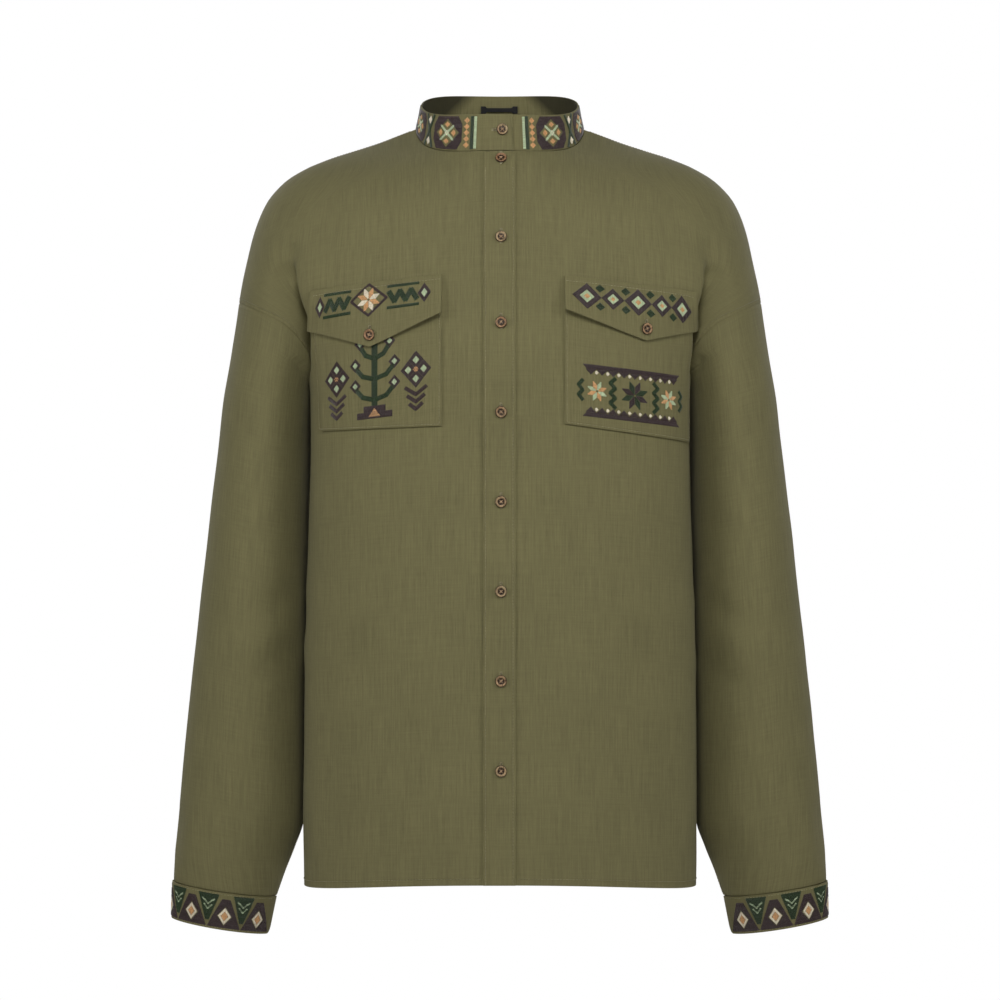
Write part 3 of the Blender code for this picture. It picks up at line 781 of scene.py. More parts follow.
STEP_LEFT = (
    (-98, 1.0), (-112, 0.985), (-130, 0.98), (-152, 0.99),
    (-172, 0.99), (-192, 0.97), (-225, 0.97), (-258, 1.0),
)
STEP_RIGHT = (
    (-96, 1.0), (-111, 0.985), (-128, 0.975), (-150, 0.98),
    (-172, 0.97), (-194, 0.958), (-226, 0.96), (-258, 1.0),
)
CREASES = [
    Crease("body", -1, 20, -13.0, STEP_RIGHT, 4.0),
    Crease("body", 1, 20, -13.0, STEP_LEFT, 4.0),
    Crease("body", -1, 8, -4.5, ((-122, 1.02), (-150, 1.03), (-185, 1.02), (-240, 1.02)), 3.5),
    Crease("body", 1, 8, -4.5, ((-120, 1.02), (-150, 1.03), (-185, 1.02), (-240, 1.02)), 3.5),
    Crease("body", -1, 12, -5.0, ((-76, 1.0), (-100, 1.03), (-132, 1.08))),
    Crease("body", 1, 12, -5.0, ((-74, 1.0), (-98, 1.03), (-132, 1.08))),
    Crease("body", -1, 11, 1.2, ((-104, 0.9), (-140, 0.9), (-180, 0.9), (-225, 0.88))),
    Crease("body", 1, 11, 2.2, ((-106, 0.9), (-140, 0.9), (-180, 0.9), (-225, 0.88))),
    Crease("body", -1, 30, 1.7, ((-470, 0.78), (-590, 0.7), (-735, 0.68))),
    Crease("body", -1, 26, -1.9, ((-520, 0.62), (-640, 0.55), (-738, 0.53))),
    Crease("body", 1, 30, 1.8, ((-430, 0.8), (-560, 0.74), (-735, 0.7))),
    Crease("body", 1, 28, -1.8, ((-560, 0.6), (-660, 0.57), (-738, 0.58))),
    Crease("body", -1, 24, -1.5, ((-480, 0.34), (-600, 0.3), (-738, 0.33))),
    Crease("body", 1, 24, -1.4, ((-500, 0.3), (-620, 0.34), (-738, 0.31))),
    Crease("body", -1, 26, -2.6, ((-150, 3.1), (-230, 3.3), (-330, 3.5))),
    Crease("body", 1, 24, -2.8, ((-160, 3.12), (-240, 3.34), (-350, 3.52))),
    Crease("body", -1, 30, 2.4, ((-400, 3.3), (-560, 3.4), (-738, 3.38))),
    Crease("body", 1, 32, 2.2, ((-380, 3.32), (-560, 3.36), (-738, 3.42))),
    Crease("body", -1, 28, -2.4, ((-480, 3.62), (-620, 3.66), (-738, 3.63))),
    Crease("body", 1, 28, -2.2, ((-460, 3.68), (-600, 3.64), (-738, 3.67))),
    Crease("body", -1, 18, -1.6, ((-20, 3.45), (-60, 3.4), (-110, 3.36))),
    Crease("body", 1, 18, -1.5, ((-22, 3.46), (-66, 3.4), (-116, 3.35))),
    Crease("sleeve", -1, 15, -2.2, ((-438, 0.86), (-462, 0.66), (-474, 0.46))),
    Crease("sleeve", 1, 15, -2.2, ((-446, 0.86), (-470, 0.66), (-484, 0.44))),
    Crease("sleeve", -1, 16, -2.4, ((-500, 0.9), (-512, 0.7), (-540, 0.5))),
    Crease("sleeve", 1, 17, -2.2, ((-512, 0.9), (-530, 0.68), (-560, 0.52))),
    Crease("sleeve", -1, 14, -1.9, ((-600, 0.62), (-650, 0.5), (-715, 0.46))),
    Crease("sleeve", 1, 14, -1.9, ((-610, 0.6), (-665, 0.5), (-725, 0.44))),
    Crease("sleeve", -1, 13, 1.7, ((-640, 0.3), (-690, 0.26), (-738, 0.3))),
    Crease("sleeve", 1, 13, 1.8, ((-630, 0.28), (-690, 0.27), (-738, 0.32))),
    Crease("sleeve", -1, 13, -1.8, ((-668, 0.12), (-705, 0.1), (-740, 0.12))),
    Crease("sleeve", 1, 13, -1.7, ((-660, 0.1), (-705, 0.13), (-740, 0.1))),
    Crease("sleeve", -1, 18, -3.0, ((-270, -0.86), (-330, -0.66), (-400, -0.5))),
    Crease("sleeve", 1, 18, -3.1, ((-272, -0.84), (-336, -0.66), (-410, -0.5))),
    Crease("sleeve", -1, 17, -2.8, ((-470, -0.84), (-490, -0.62), (-500, -0.4))),
    Crease("sleeve", 1, 17, -2.8, ((-476, -0.84), (-500, -0.62), (-508, -0.4))),
    Crease("sleeve", -1, 16, -2.2, ((-620, -0.6), (-670, -0.48), (-735, -0.44))),
    Crease("sleeve", 1, 16, -2.2, ((-626, -0.58), (-676, -0.5), (-735, -0.42))),
    Crease("sleeve", -1, 13, 1.9, ((-650, -0.2), (-700, -0.24), (-740, -0.22))),
    Crease("sleeve", 1, 13, 1.9, ((-640, -0.22), (-696, -0.22), (-740, -0.24))),
]
CREASE_STEPS = 8
CREASE_ENDS = 0.22
UNEVEN = 0.55
UNEVEN_SIZE = 52.0


def crease_line(crease):
    """Points along a crease, with its depth, outward normal and way off the centre at each."""
    surface = on_sleeve if crease.surface == "sleeve" else on_body
    mirror = Vector((crease.side, 1, 1))
    points, depths, normals, sideways = [], [], [], []
    spans = len(crease.path) - 1
    for i in range(spans * CREASE_STEPS + 1):
        share = i / (spans * CREASE_STEPS)
        j = min(int(share * spans), spans - 1)
        part = share * spans - j
        level, course = (a + (b - a) * part for a, b in zip(crease.path[j], crease.path[j + 1]))
        points.append(surface(level, course) * mirror)
        depths.append(crease.depth * smooth(share / CREASE_ENDS) * smooth((1 - share) / CREASE_ENDS))
        normal = normal_to(surface, level, course)
        normals.append((-normal if crease.surface == "sleeve" else normal) * mirror)
        sideways.append(sideways_at(surface, level, course).normalized() * mirror)
    return np.array(points), np.array(depths), np.array(normals), np.array(sideways)


@lru_cache(maxsize=1)
def crease_lines():
    """Width, width towards the centre front, and line of every crease."""
    return [(crease.width, crease.step or crease.width, *crease_line(crease)) for crease in CREASES]


def pressed(points, normals):
    """The points moved by the cloth's unevenness, and by the creases along their own normals."""
    points, normals = np.array(points), np.array(normals)
    uneven = np.array([noise.noise(Vector(point) / UNEVEN_SIZE) * UNEVEN for point in points])
    moved = points + normals * uneven[:, None]
    for width, step, line, depths, upward, sideways in crease_lines():
        near = np.full(len(points), np.inf)
        depth = np.zeros(len(points))
        beyond = np.zeros(len(points))
        lift = np.zeros(points.shape)
        for i in range(len(line) - 1):
            run = line[i + 1] - line[i]
            along = np.clip((points - line[i]) @ run / (run @ run), 0, 1)[:, None]
            offset = points - line[i] - along * run
            distance = np.linalg.norm(offset, axis=1)
            closer = distance < near
            way = sideways[i] + (sideways[i + 1] - sideways[i]) * along
            near = np.where(closer, distance, near)
            depth = np.where(closer, (depths[i] + (depths[i + 1] - depths[i]) * along)[:, 0], depth)
            beyond = np.where(closer, (offset * way).sum(1), beyond)
            lift = np.where(closer[:, None], upward[i] + (upward[i + 1] - upward[i]) * along, lift)
        spread = np.where(beyond > 0, width, step)
        moved += lift * (depth * np.exp(-((near / spread) ** 2)))[:, None]
    return moved


# --------------------------------------------------------------------------------------------------
# Cloth pieces


def steps(start, end, count):
    """Values from the start to the end, this many steps apart."""
    return [start + (end - start) * i / count for i in range(count + 1)]


def crowded(start, end, count):
    """Values from the start to the end, closer together near the end."""
    return [end - (end - start) * (1 - i / count) ** 1.5 for i in range(count + 1)]


def finer(values, count):
    """The values with this many steps between each two of them."""
    spans = zip(values, values[1:])
    return [a + (b - a) * i / count for a, b in spans for i in range(count)] + [values[-1]]


GRAIN_TURNS = -60
GRAIN_TURN = 90


def grain(rows, middle=False, drape=False):
    """Distances along and down the cloth for each point, in millimetres, as the weave runs.

    Draped cloth keeps its grain fore and aft over the shoulders, and turns round the body lower
    down. A tube takes the distance along it from the middle of each row, and a band or patch from
    its top row.
    """
    straight = not middle and not drape
    places = []
    for i, row in enumerate(rows):
        origin = len(row) // 2 if middle else 0
        around = smooth((GRAIN_TURNS - row[origin].z) / GRAIN_TURN) if drape else 1.0
        along = [row[origin].x if drape else 0.0]
        for a, b in zip(row, row[1:]):
            rise = 0 if drape else b.z - a.z
            along.append(along[-1] + math.hypot(b.x - a.x, around * (b.y - a.y), rise))
        if straight and i:
            along = [u for u, _ in places[0]]
        first = along[origin] - along[0]
        if i:
            above, heights = rows[i - 1], places[-1]
            skip = (len(above) - len(row)) // 2 if middle else 0
            down = []
            for j, point in enumerate(row):
                step = point - above[j + skip]
                fall = math.hypot(step.y, step.z) if drape else step.length
                down.append(heights[j + skip][1] - fall)
        else:
            down = [0.0] * len(row)
            for j in range(1, len(row) if drape else 0):
                step = row[j] - row[j - 1]
                rise = math.hypot(step.y, step.z)
                down[j] = down[j - 1] + (rise if j > origin or not middle else -rise)
        places.append([(u - first, v) for u, v in zip(along, down)])
    return places


def cloth(
    name, rows, side=1, closed=False, middle=False, drape=False,
    wall=SHIRTING, edge=THIN_EDGE, fold=None,
):
    """A piece of cloth from rows of points, listed down from the top and along +X at the front.

    A row may be longer than the one below it, at its end or, about the middle, at both ends. Side
    -1 mirrors the piece. Edge is the radius of its rim, and cloth is double below the height of
    its fold.
    """
    mirror = Vector((side, 1, 1))
    places = grain(rows, middle, drape)
    starts = [sum(len(row) for row in rows[:i]) for i in range(len(rows))]
    points = [point * mirror for row in rows for point in row]
    faces, corners = [], []
    for i, (row, below) in enumerate(zip(rows, rows[1:])):
        skip = (len(row) - len(below)) // 2 if middle else 0
        count = min(len(row), len(below))
        for j in range(count if closed else count - 1):
            after = (j + 1) % count
            upper, lower = places[i], places[i + 1]
            corner = [upper[j + skip], lower[j], lower[after], upper[after + skip]]
            if after < j:
                corner[2] = (corner[1][0] + (below[0] - below[-1]).length, corner[2][1])
                corner[3] = (corner[0][0] + (row[0] - row[-1]).length, corner[3][1])
            high, low = starts[i] + skip, starts[i + 1]
            face = [high + j, low + j, low + after, high + after]
            faces.append(face[::-1] if side < 0 else face)
            corners += corner[::-1] if side < 0 else corner
    mesh = bpy.data.meshes.new(name)
    mesh.from_pydata(points, [], faces)
    mesh.uv_layers.new(name="cloth").data.foreach_set("uv", np.array(corners).ravel() * MM)
    normals = np.zeros(len(points) * 3)
    mesh.vertices.foreach_get("normal", normals)
    moved = pressed(points, normals.reshape(-1, 3))
    mesh.vertices.foreach_set("co", (moved * MM).ravel())
    mesh.shade_smooth()
    piece = placed(name, mesh)
    walls = {"thickness": wall * MM}
    if fold is not None:
        double = piece.vertex_groups.new(name="double")
        double.add([i for i, point in enumerate(points) if point.z < fold], 1, "REPLACE")
        walls = {"thickness": 2 * wall * MM, "vertex_group": "double", "thickness_vertex_group": 0.5}
    modify(piece, "SOLIDIFY", offset=-1, **walls)
    rim = {"limit_method": "ANGLE", "angle_limit": math.radians(50)}
    modify(piece, "BEVEL", width=edge * MM, segments=2, **rim)
    return piece


def draw_in(point, neighbour, distance=SEAM_GAP):
    """The point moved this far towards its neighbour."""
    return point + (neighbour - point).normalized() * distance


def course_at(level, x):
    """Course of the body's point at this level and x, near the centre front."""
    low, high = -0.6, 0.6
    for _ in range(22):
        middle = (low + high) / 2
        if on_body(level, middle).x < x:
            low = middle
        else:
            high = middle
    return low


TORSO_STEPS = 52
SHOULDER_STEPS = 30
SHOULDER_LEVELS = finer([ring.level for ring in SHOULDERS], 4)
TORSO_LEVELS = steps(ARMPIT, HEM + 8, 102) + [HEM + 6.6, HEM + 5.8, HEM + 3, HEM]
FRONT_LEVELS = SHOULDER_LEVELS + TORSO_LEVELS[1:]
SLEEVE_STEPS = 36
SLEEVE_ROWS = 116
BAND_ROWS = 14
COLLAR_STEPS = 150
CUFF_STEPS = 100
PLACKET_COLUMNS = 14
POCKET_COLUMNS = 14
BAG_ROWS = 24
FLAP_ROWS = 18


def half_panel(behind, edge_x=None):
    """Rows of half the front or back, from its centre to the side seam or the shoulder's ridge."""

    def course(reach):
        return 4 - reach if behind else reach

    rows = []
    for level in FRONT_LEVELS:
        start = 0.0 if edge_x is None else course_at(level, edge_x)
        rows.append([on_body(level, course(reach)) for reach in crowded(start, 1.0, TORSO_STEPS)])
    for row, level in zip(rows, SHOULDER_LEVELS):
        share = (NECK_LEVEL - level) / (NECK_LEVEL - ARMPIT)
        for turn in crowded(0.0, 1.0, SHOULDER_STEPS)[-2::-1]:
            lower = NECK_LEVEL + (armhole_level(turn) - NECK_LEVEL) * share
            row.append(on_body(lower, course(2 - turn)))
    last = len(SHOULDER_LEVELS) - 1
    for j in range(TORSO_STEPS, len(rows[last])):
        rows[last][j] = draw_in(rows[last][j], rows[last - 1][j])
    for row in rows:
        row[-1] = draw_in(row[-1], row[-2])
    return rows


def back_rows():
    """The whole back, from its right side seam to its left one."""
    mirror = Vector((-1, 1, 1))
    half = half_panel(behind=True)
    return [row[::-1] + [point * mirror for point in row[1:]] for row in half]


def raised(level, course, out):
    """Point this far out from the body's cloth."""
    return on_body(level, course) + normal_to(on_body, level, course) * out


def sleeve_rows():
    """A tube down to the cuff. Its top turns in under the edge of the body."""
    turns = crowded(0.0, 1.0, SLEEVE_STEPS)
    turns = [*reversed(turns), *(-turn for turn in turns[1:-1])]
    rows = []
    for share in steps(0.0, 1.0, SLEEVE_ROWS):
        levels = [armhole_level(turn) + (CUFF_TOP - armhole_level(turn)) * share for turn in turns]
        rows.append([on_sleeve(level, turn) for level, turn in zip(levels, turns)])
    turned = []
    for rise, depth in ((SEAM_UNDER, SEAM_DEPTH + SEAM_TURN), (0.0, SEAM_DEPTH)):
        turned.append([raised(armhole_level(turn) + rise, 2 - turn, -depth) for turn in turns])
    below = [draw_in(first, second, SEAM_FALL) for first, second in zip(rows[0], rows[1])]
    return [*turned, below, *rows[1:]]


def on_band(band, angle):
    """Point of a ring of the collar. Angle 0 is the centre front and 90 the left side."""
    turn = math.radians(angle)
    cosine = math.cos(turn)
    y_end, z_end = (band.y_front, band.z_front) if cosine > 0 else (band.y_back, band.z_back)
    cosine = abs(cosine)
    y = band.y_side + (y_end - band.y_side) * cosine
    z = band.z_side + (z_end - band.z_side) * math.sin(cosine * math.pi / 2)
    return Vector((band.half * math.sin(turn), y, z))


def on_collar(share, angle, inward=0.0):
    """Point of the collar's outer face. Share 0 is its base and 1 its top edge."""
    point = on_band(COLLAR_BASE, angle).lerp(on_band(COLLAR_TOP, angle), share)
    return point - Vector((point.x, point.y, 0)).normalized() * inward


def collar_tuck(angle):
    """How far the collar's under end lies in, so that its other end laps over it."""
    return smooth((COLLAR_TUCK_FROM - angle) / COLLAR_TUCK) * (COLLAR_WALL + LAID_GAP)


COLLAR_OVER_END = math.degrees(math.asin(COLLAR_OVER_X / COLLAR_BASE.half))
COLLAR_UNDER_END = math.degrees(math.asin(COLLAR_UNDER_X / COLLAR_BASE.half)) - 360


def collar_rows():
    """One band that goes once round the neck and laps over its own end at the centre front."""
    angles = steps(COLLAR_UNDER_END, COLLAR_OVER_END, COLLAR_STEPS)
    rows = []
    for share in steps(1.0, COLLAR_FOOT, BAND_ROWS):
        rows.append([on_collar(share, angle, collar_tuck(angle)) for angle in angles])
    return rows


def on_cuff(depth, angle):
    """Point of a cuff at a depth below its top edge, tucked in under its own front end."""
    top, bottom = CUFF_EDGES
    point = on_tube(top, angle).lerp(on_tube(bottom, angle), depth / (top.level - bottom.level))
    tucked = smooth((CUFF_TUCK_FROM - angle) / CUFF_TUCK) * (CUFF_WALL + LAID_GAP)
    axis = Vector(((top.outer + top.inner) / 2, top.y_mid, point.z))
    return draw_in(point, axis, tucked)


def cuff_rows():
    """A band round the wrist whose front end laps over its back end on the inner side."""
    top, bottom = CUFF_EDGES
    height = top.level - bottom.level
    girth_step = math.radians(1) * (top.depth + (top.outer - top.inner) / 2) / 2
    angles = [CUFF_FRONT_END - CUFF_ROUNDED * (i / 14) ** 1.5 for i in range(14)]
    angles += steps(CUFF_FRONT_END - CUFF_ROUNDED, CUFF_BACK_END, CUFF_STEPS)
    rows = []
    for share in steps(0.0, 1.0, BAND_ROWS):
        row = []
        for angle in angles:
            short = max(0, CUFF_CORNER - (CUFF_FRONT_END - angle) * girth_step)
            rise = CUFF_CORNER - math.sqrt(max(0, CUFF_CORNER**2 - short**2))
            row.append(on_cuff(share * (height - rise), angle))
        rows.append(row)
    return rows


def placket_rows():
    """The buttonhole band, laid over the edges of both fronts from the collar to the hem."""
    columns = steps(*PLACKET_EDGES, PLACKET_COLUMNS)
    rows = []
    for level in FRONT_LEVELS:
        level = min(level, NECK_LEVEL - LAID_GAP)
        rows.append([raised(level, course_at(level, x), LAID_GAP + WALL) for x in columns])
    return rows


def between(x, start_x, start, end_x, end):
    """Height at x on the straight line from one place to another."""
    return start + (end - start) * (x - start_x) / (end_x - start_x)


def flap_top(pocket, x):
    """The upper edge of a flap, which is sewn to the front."""
    return between(x, pocket.inner_x, pocket.flap_inner_top, pocket.outer_x, pocket.flap_outer_top)


def flap_low(pocket, x):
    """The pointed lower edge of a flap."""
    if x <= pocket.point_x:
        return between(x, pocket.inner_x, pocket.flap_inner_low, pocket.point_x, pocket.point_z)
    return between(x, pocket.point_x, pocket.point_z, pocket.outer_x, pocket.flap_outer_low)


def bag_face(pocket, x, depth):
    """Distance of a bag's outer face from the front, the same everywhere."""
    return POCKET_GAP + WALL


def flap_face(pocket, x, depth):
    """Distance of a flap's outer face from the front: it steps over the bag, then stands off.

    Its corner by the centre front springs up, and the button holds its point.
    """
    step = (WALL + POCKET_GAP) * smooth(depth / FLAP_STEP)
    held = pocket.point_x - FLAP_HELD
    spring = FLAP_SPRING * smooth((held - x) / (held - pocket.inner_x))
    share = depth / (flap_top(pocket, x) - flap_low(pocket, x))
    stand = FLAP_STAND * (depth / FLAP_HEIGHT) ** 2
    return POCKET_GAP + step + stand + spring * share**2 + WALL


def columns_across(pocket, outer_x):
    """X of each column of a pocket, evenly spaced on the chest, with one at the flap's point."""
    edges = (pocket.inner_x, pocket.point_x, outer_x)
    inner, middle, outer = (math.asin(x / CHEST_HALF) for x in edges)
    turns = steps(inner, middle, POCKET_COLUMNS) + steps(middle, outer, POCKET_COLUMNS)[1:]
    return [CHEST_HALF * math.sin(turn) for turn in turns]


def on_front(x, z, out):
    """Point this far out from the front at this x and z."""
    level, course = find_front(x, z)
    return raised(level, course, out)


def bag_low(pocket, x):
    """The lower edge of a bag."""
    return between(x, pocket.inner_x, pocket.bag_inner_low, pocket.outer_x, pocket.bag_outer_low)


def bag_rows(pocket):
    rows = []
    for share in steps(0.0, 1.0, BAG_ROWS):
        row = []
        for x in columns_across(pocket, pocket.outer_x - pocket.bag_taper * share):
            top = flap_top(pocket, x) - BAG_BELOW_FLAP
            depth = (top - bag_low(pocket, x)) * share
            row.append(on_front(x, top - depth, bag_face(pocket, x, depth)))
        rows.append(row)
    return rows


def flap_rows(pocket):
    columns = columns_across(pocket, pocket.outer_x + FLAP_OVER)
    rows = []
    for share in steps(0.0, 1.0, FLAP_ROWS):
        row = []
        for x in columns:
            top = flap_top(pocket, x)
            depth = (top - flap_low(pocket, x)) * share
            row.append(on_front(x, top - depth, flap_face(pocket, x, depth)))
        rows.append(row)
    return rows


# --------------------------------------------------------------------------------------------------
# Threads

# Radius of each kind of thread, in millimetres
EMBROIDERY_RADIUS = 0.36
SEWING_RADIUS = 0.23
ARMHOLE_RADIUS = 0.18
SHANK_RADIUS = 0.26

# Running stitches, in millimetres
STITCH_LENGTH = 2.5
STITCH_GAP = 0.55
STITCH_RISE = 0.28

THREAD_INPUTS = {"Lines": "Geometry", "Radius": "Float", "Sides": "Int", "Finish": "Material"}


def thread_tree():
    """Nodes that turn a mesh of open lines into round threads."""
    tree = bpy.data.node_groups.new("threads", "GeometryNodeTree")
    sockets = {}
    for name, kind in THREAD_INPUTS.items():
        kind = "NodeSocket" + kind
        sockets[name] = tree.interface.new_socket(name, in_out="INPUT", socket_type=kind)
    tree.interface.new_socket("Threads", in_out="OUTPUT", socket_type="NodeSocketGeometry")
    given = tree.nodes.new("NodeGroupInput")
    made = tree.nodes.new("NodeGroupOutput")
    lines = tree.nodes.new("GeometryNodeMeshToCurve")
    section = tree.nodes.new("GeometryNodeCurvePrimitiveCircle")
    round_off = tree.nodes.new("GeometryNodeCurveToMesh")
    soften = tree.nodes.new("GeometryNodeSetShadeSmooth")
    realize = tree.nodes.new("GeometryNodeRealizeInstances")
    finish = tree.nodes.new("GeometryNodeSetMaterial")
    for source, output, target, place in (
        (given, "Lines", lines, "Mesh"),
        (given, "Radius", section, "Radius"),
        (given, "Sides", section, "Resolution"),
        (lines, "Curve", round_off, "Curve"),
        (section, "Curve", round_off, "Profile Curve"),
        (round_off, "Mesh", soften, "Geometry"),
        (soften, "Geometry", realize, "Geometry"),
        (realize, "Geometry", finish, "Geometry"),
        (given, "Finish", finish, "Material"),
        (finish, "Geometry", made, "Threads"),
    ):
        tree.links.new(source.outputs[output], target.inputs[place])
    return tree, sockets


def baked(piece):
    """The piece with its modifiers made part of its mesh."""
    graph = bpy.context.evaluated_depsgraph_get()
    mesh = bpy.data.meshes.new_from_object(piece.evaluated_get(graph), depsgraph=graph)
    piece.modifiers.clear()
    piece.data = mesh
    return piece


def threads(name, strands, radius, finish, sides=4):
    """One piece made of many threads. A strand is a row of points in millimetres."""
    tree, sockets = thread_tree()
    shades = random.Random(name)
    edges, tints = [], []
    start = 0
    for strand in strands:
        count = len(strand)
        edges += [(i, i + 1) for i in range(start, start + count - 1)]
        tints += [shades.uniform(0.8, 1.12)] * count
        start += count
    mesh = bpy.data.meshes.new(name)
    mesh.from_pydata(np.concatenate(strands) * MM, edges, [])
    mesh.attributes.new("shade", "FLOAT", "POINT").data.foreach_set("value", tints)
    piece = placed(name, mesh)
    modifier = piece.modifiers.new("threads", "NODES")
    modifier.node_group = tree
    modifier[sockets["Radius"].identifier] = radius * MM
    modifier[sockets["Sides"].identifier] = sides
    modifier[sockets["Finish"].identifier] = finish
    return baked(piece)


def laid(points, normals, heights):
    """Thread points at these heights above the pressed cloth."""
    points, normals = np.array(points), np.array(normals)
    return pressed(points, normals) + normals * np.asarray(heights)[:, None]


def sewn(points, normals):
    """Running stitches along a line of points on the cloth: low arches that dip in at their ends."""
    points, normals = np.array(points), np.array(normals)
    places = np.concatenate([[0], np.cumsum(np.linalg.norm(np.diff(points, axis=0), axis=1))])
    count = max(1, round(places[-1] / (STITCH_LENGTH + STITCH_GAP)))
    pitch = places[-1] / count
    shares = np.array([0.0, 0.16, 0.5, 0.84, 1.0]) * (1 - STITCH_GAP / pitch)
    where = ((np.arange(count)[:, None] + STITCH_GAP / pitch / 2 + shares) * pitch).ravel()
    at = np.stack([np.interp(where, places, column) for column in points.T], axis=1)
    up = np.stack([np.interp(where, places, column) for column in normals.T], axis=1)
    up /= np.linalg.norm(up, axis=1)[:, None]
    heights = np.tile(np.array([-0.3, 0.6, 1.0, 0.6, -0.3]) * STITCH_RISE, count)
    return list(laid(at, up, heights).reshape(count, 5, 3))


def along_corners(corners, count):
    """Places along straight lines between corners, this many steps on each line."""
    corners = [np.array(place, dtype=float) for place in corners]
    spans = zip(corners, corners[1:])
    return [a + (b - a) * k / count for a, b in spans for k in range(count)] + [corners[-1]]


# --------------------------------------------------------------------------------------------------
# Grounds: where a place along and down a piece lies in space

GROUND_STEP = 4.0
CUFF_END_FREE = 30.0
FLAP_GROUND = 66.0
BAG_GROUND = 152.0


class Ground:
    """Points and normals of a piece's face, read from a grid of distances along and down it."""

    def __init__(self, place, along, down, side=1):
        self.along, self.down = along, down
        counts = [math.ceil((high - low) / GROUND_STEP) + 1 for low, high in (along, down)]
        self.points, self.normals = np.zeros((*counts, 3)), np.zeros((*counts, 3))
        for i in range(counts[0]):
            for j in range(counts[1]):
                point, normal = place(along[0] + i * GROUND_STEP, down[0] + j * GROUND_STEP)
                self.points[i, j], self.normals[i, j] = point, normal
        self.points[..., 0] *= side
        self.normals[..., 0] *= side

    def at(self, places):
        """Points and normals at an array of places."""
        found = []
        for axis, low in ((0, self.along[0]), (1, self.down[0])):
            count = self.points.shape[axis]
            share = np.clip((places[..., axis] - low) / GROUND_STEP, 0, count - 1.001)
            found.append((share.astype(int), share % 1))
        (i, p), (j, q) = found
        p, q = p[..., None], q[..., None]
        out = []
        for grid in (self.points, self.normals):
            near = grid[i, j] * (1 - p) + grid[i + 1, j] * p
            far = grid[i, j + 1] * (1 - p) + grid[i + 1, j + 1] * p
            out.append(near * (1 - q) + far * q)
        return out[0], out[1] / np.linalg.norm(out[1], axis=-1)[..., None]

    def stitched(self, pairs, rise):
        """Strands between pairs of places, which dip into the cloth at both ends."""
        pairs = np.array(pairs)
        shares = np.array([0.0, 0.2, 0.8, 1.0])[:, None]
        places = pairs[:, None, 0] * (1 - shares) + pairs[:, None, 1] * shares
        points, normals = self.at(places)
        heights = np.tile(np.array([-0.15, 1.0, 1.0, -0.15]) * rise, len(pairs))
        strands = laid(points.reshape(-1, 3), normals.reshape(-1, 3), heights)
        return list(strands.reshape(-1, 4, 3))

    def line(self, corners):
        """Running stitches through these places."""
        return sewn(*self.at(np.array(along_corners(corners, 24))))


def arc_table(place, start, end, count=240):
    """Values from start to end, and the distance to each of them along the curve of the place."""
    values = steps(start, end, count)
    points = [place(value) for value in values]
    distances = [0.0]
    for a, b in zip(points, points[1:]):
        distances.append(distances[-1] + (b - a).length)
    return values, distances


def collar_ground():
    """Distances from the centre front, with the wearer's left above 0, and down from the top edge.

    The band's distances below 0 go all the way round it, which is once_round.
    """

    def middle(angle):
        return on_collar(0.5, angle)

    values, distances = arc_table(middle, COLLAR_UNDER_END, COLLAR_OVER_END)
    front = np.interp(0, values, distances)

    def place(along, down):
        angle = float(np.interp(along + front, distances, values))
        share = 1 - down / COLLAR_HEIGHT
        across = on_collar(share, angle + 0.5) - on_collar(share, angle - 0.5)
        normal = across.cross(on_collar(1, angle) - on_collar(0, angle)).normalized()
        return on_collar(share, angle, collar_tuck(angle)), normal

    once_round = front - float(np.interp(-360, values, distances))
    return Ground(place, (-front, distances[-1] - front), (0.0, COLLAR_HEIGHT)), once_round


def cuff_ground(side):
    """Distances from the front end round the wrist, and down from the top edge."""

    def middle(angle):
        return on_cuff(18, angle)

    values, distances = arc_table(middle, CUFF_FRONT_END, CUFF_BACK_END)

    def place(along, down):
        angle = float(np.interp(along, distances, values))
        across = on_cuff(down, angle - 0.5) - on_cuff(down, angle + 0.5)
        rise = on_cuff(0, angle) - on_cuff(36, angle)
        return on_cuff(down, angle), across.cross(rise).normalized()

    return Ground(place, (0.0, distances[-1] - CUFF_END_FREE), (0.0, CUFF_HEIGHT), side)


def pocket_arc(pocket):
    """X of columns of a pocket, and how far along its middle each of them is."""

    def middle(x):
        return on_front(x, flap_top(pocket, x) - 60, 0.0)

    return arc_table(middle, pocket.inner_x, pocket.outer_x, 60)


def pocket_ground(pocket, arc, face, depth):
    """Distances from a pocket's edge by the centre front, and down from the top of its flap."""
    values, distances = arc

    def place(along, down):
        x = float(np.interp(along, distances, values))
        level, course = find_front(x, flap_top(pocket, x) - down)
        normal = normal_to(on_body, level, course)
        return on_body(level, course) + normal * face(pocket, x, down), normal

    return Ground(place, (0.0, distances[-1]), (0.0, depth), pocket.side)


# --------------------------------------------------------------------------------------------------
# Embroidery: geometric motifs of the traditional kind, drawn in distances along and down

# Distance between stitches, the longest stitch and the shortest, in millimetres
SATIN = 0.62
ROW = 4.4
ROW_END = 0.9
SHORTEST = 0.3
STITCH_HEIGHT = 0.34


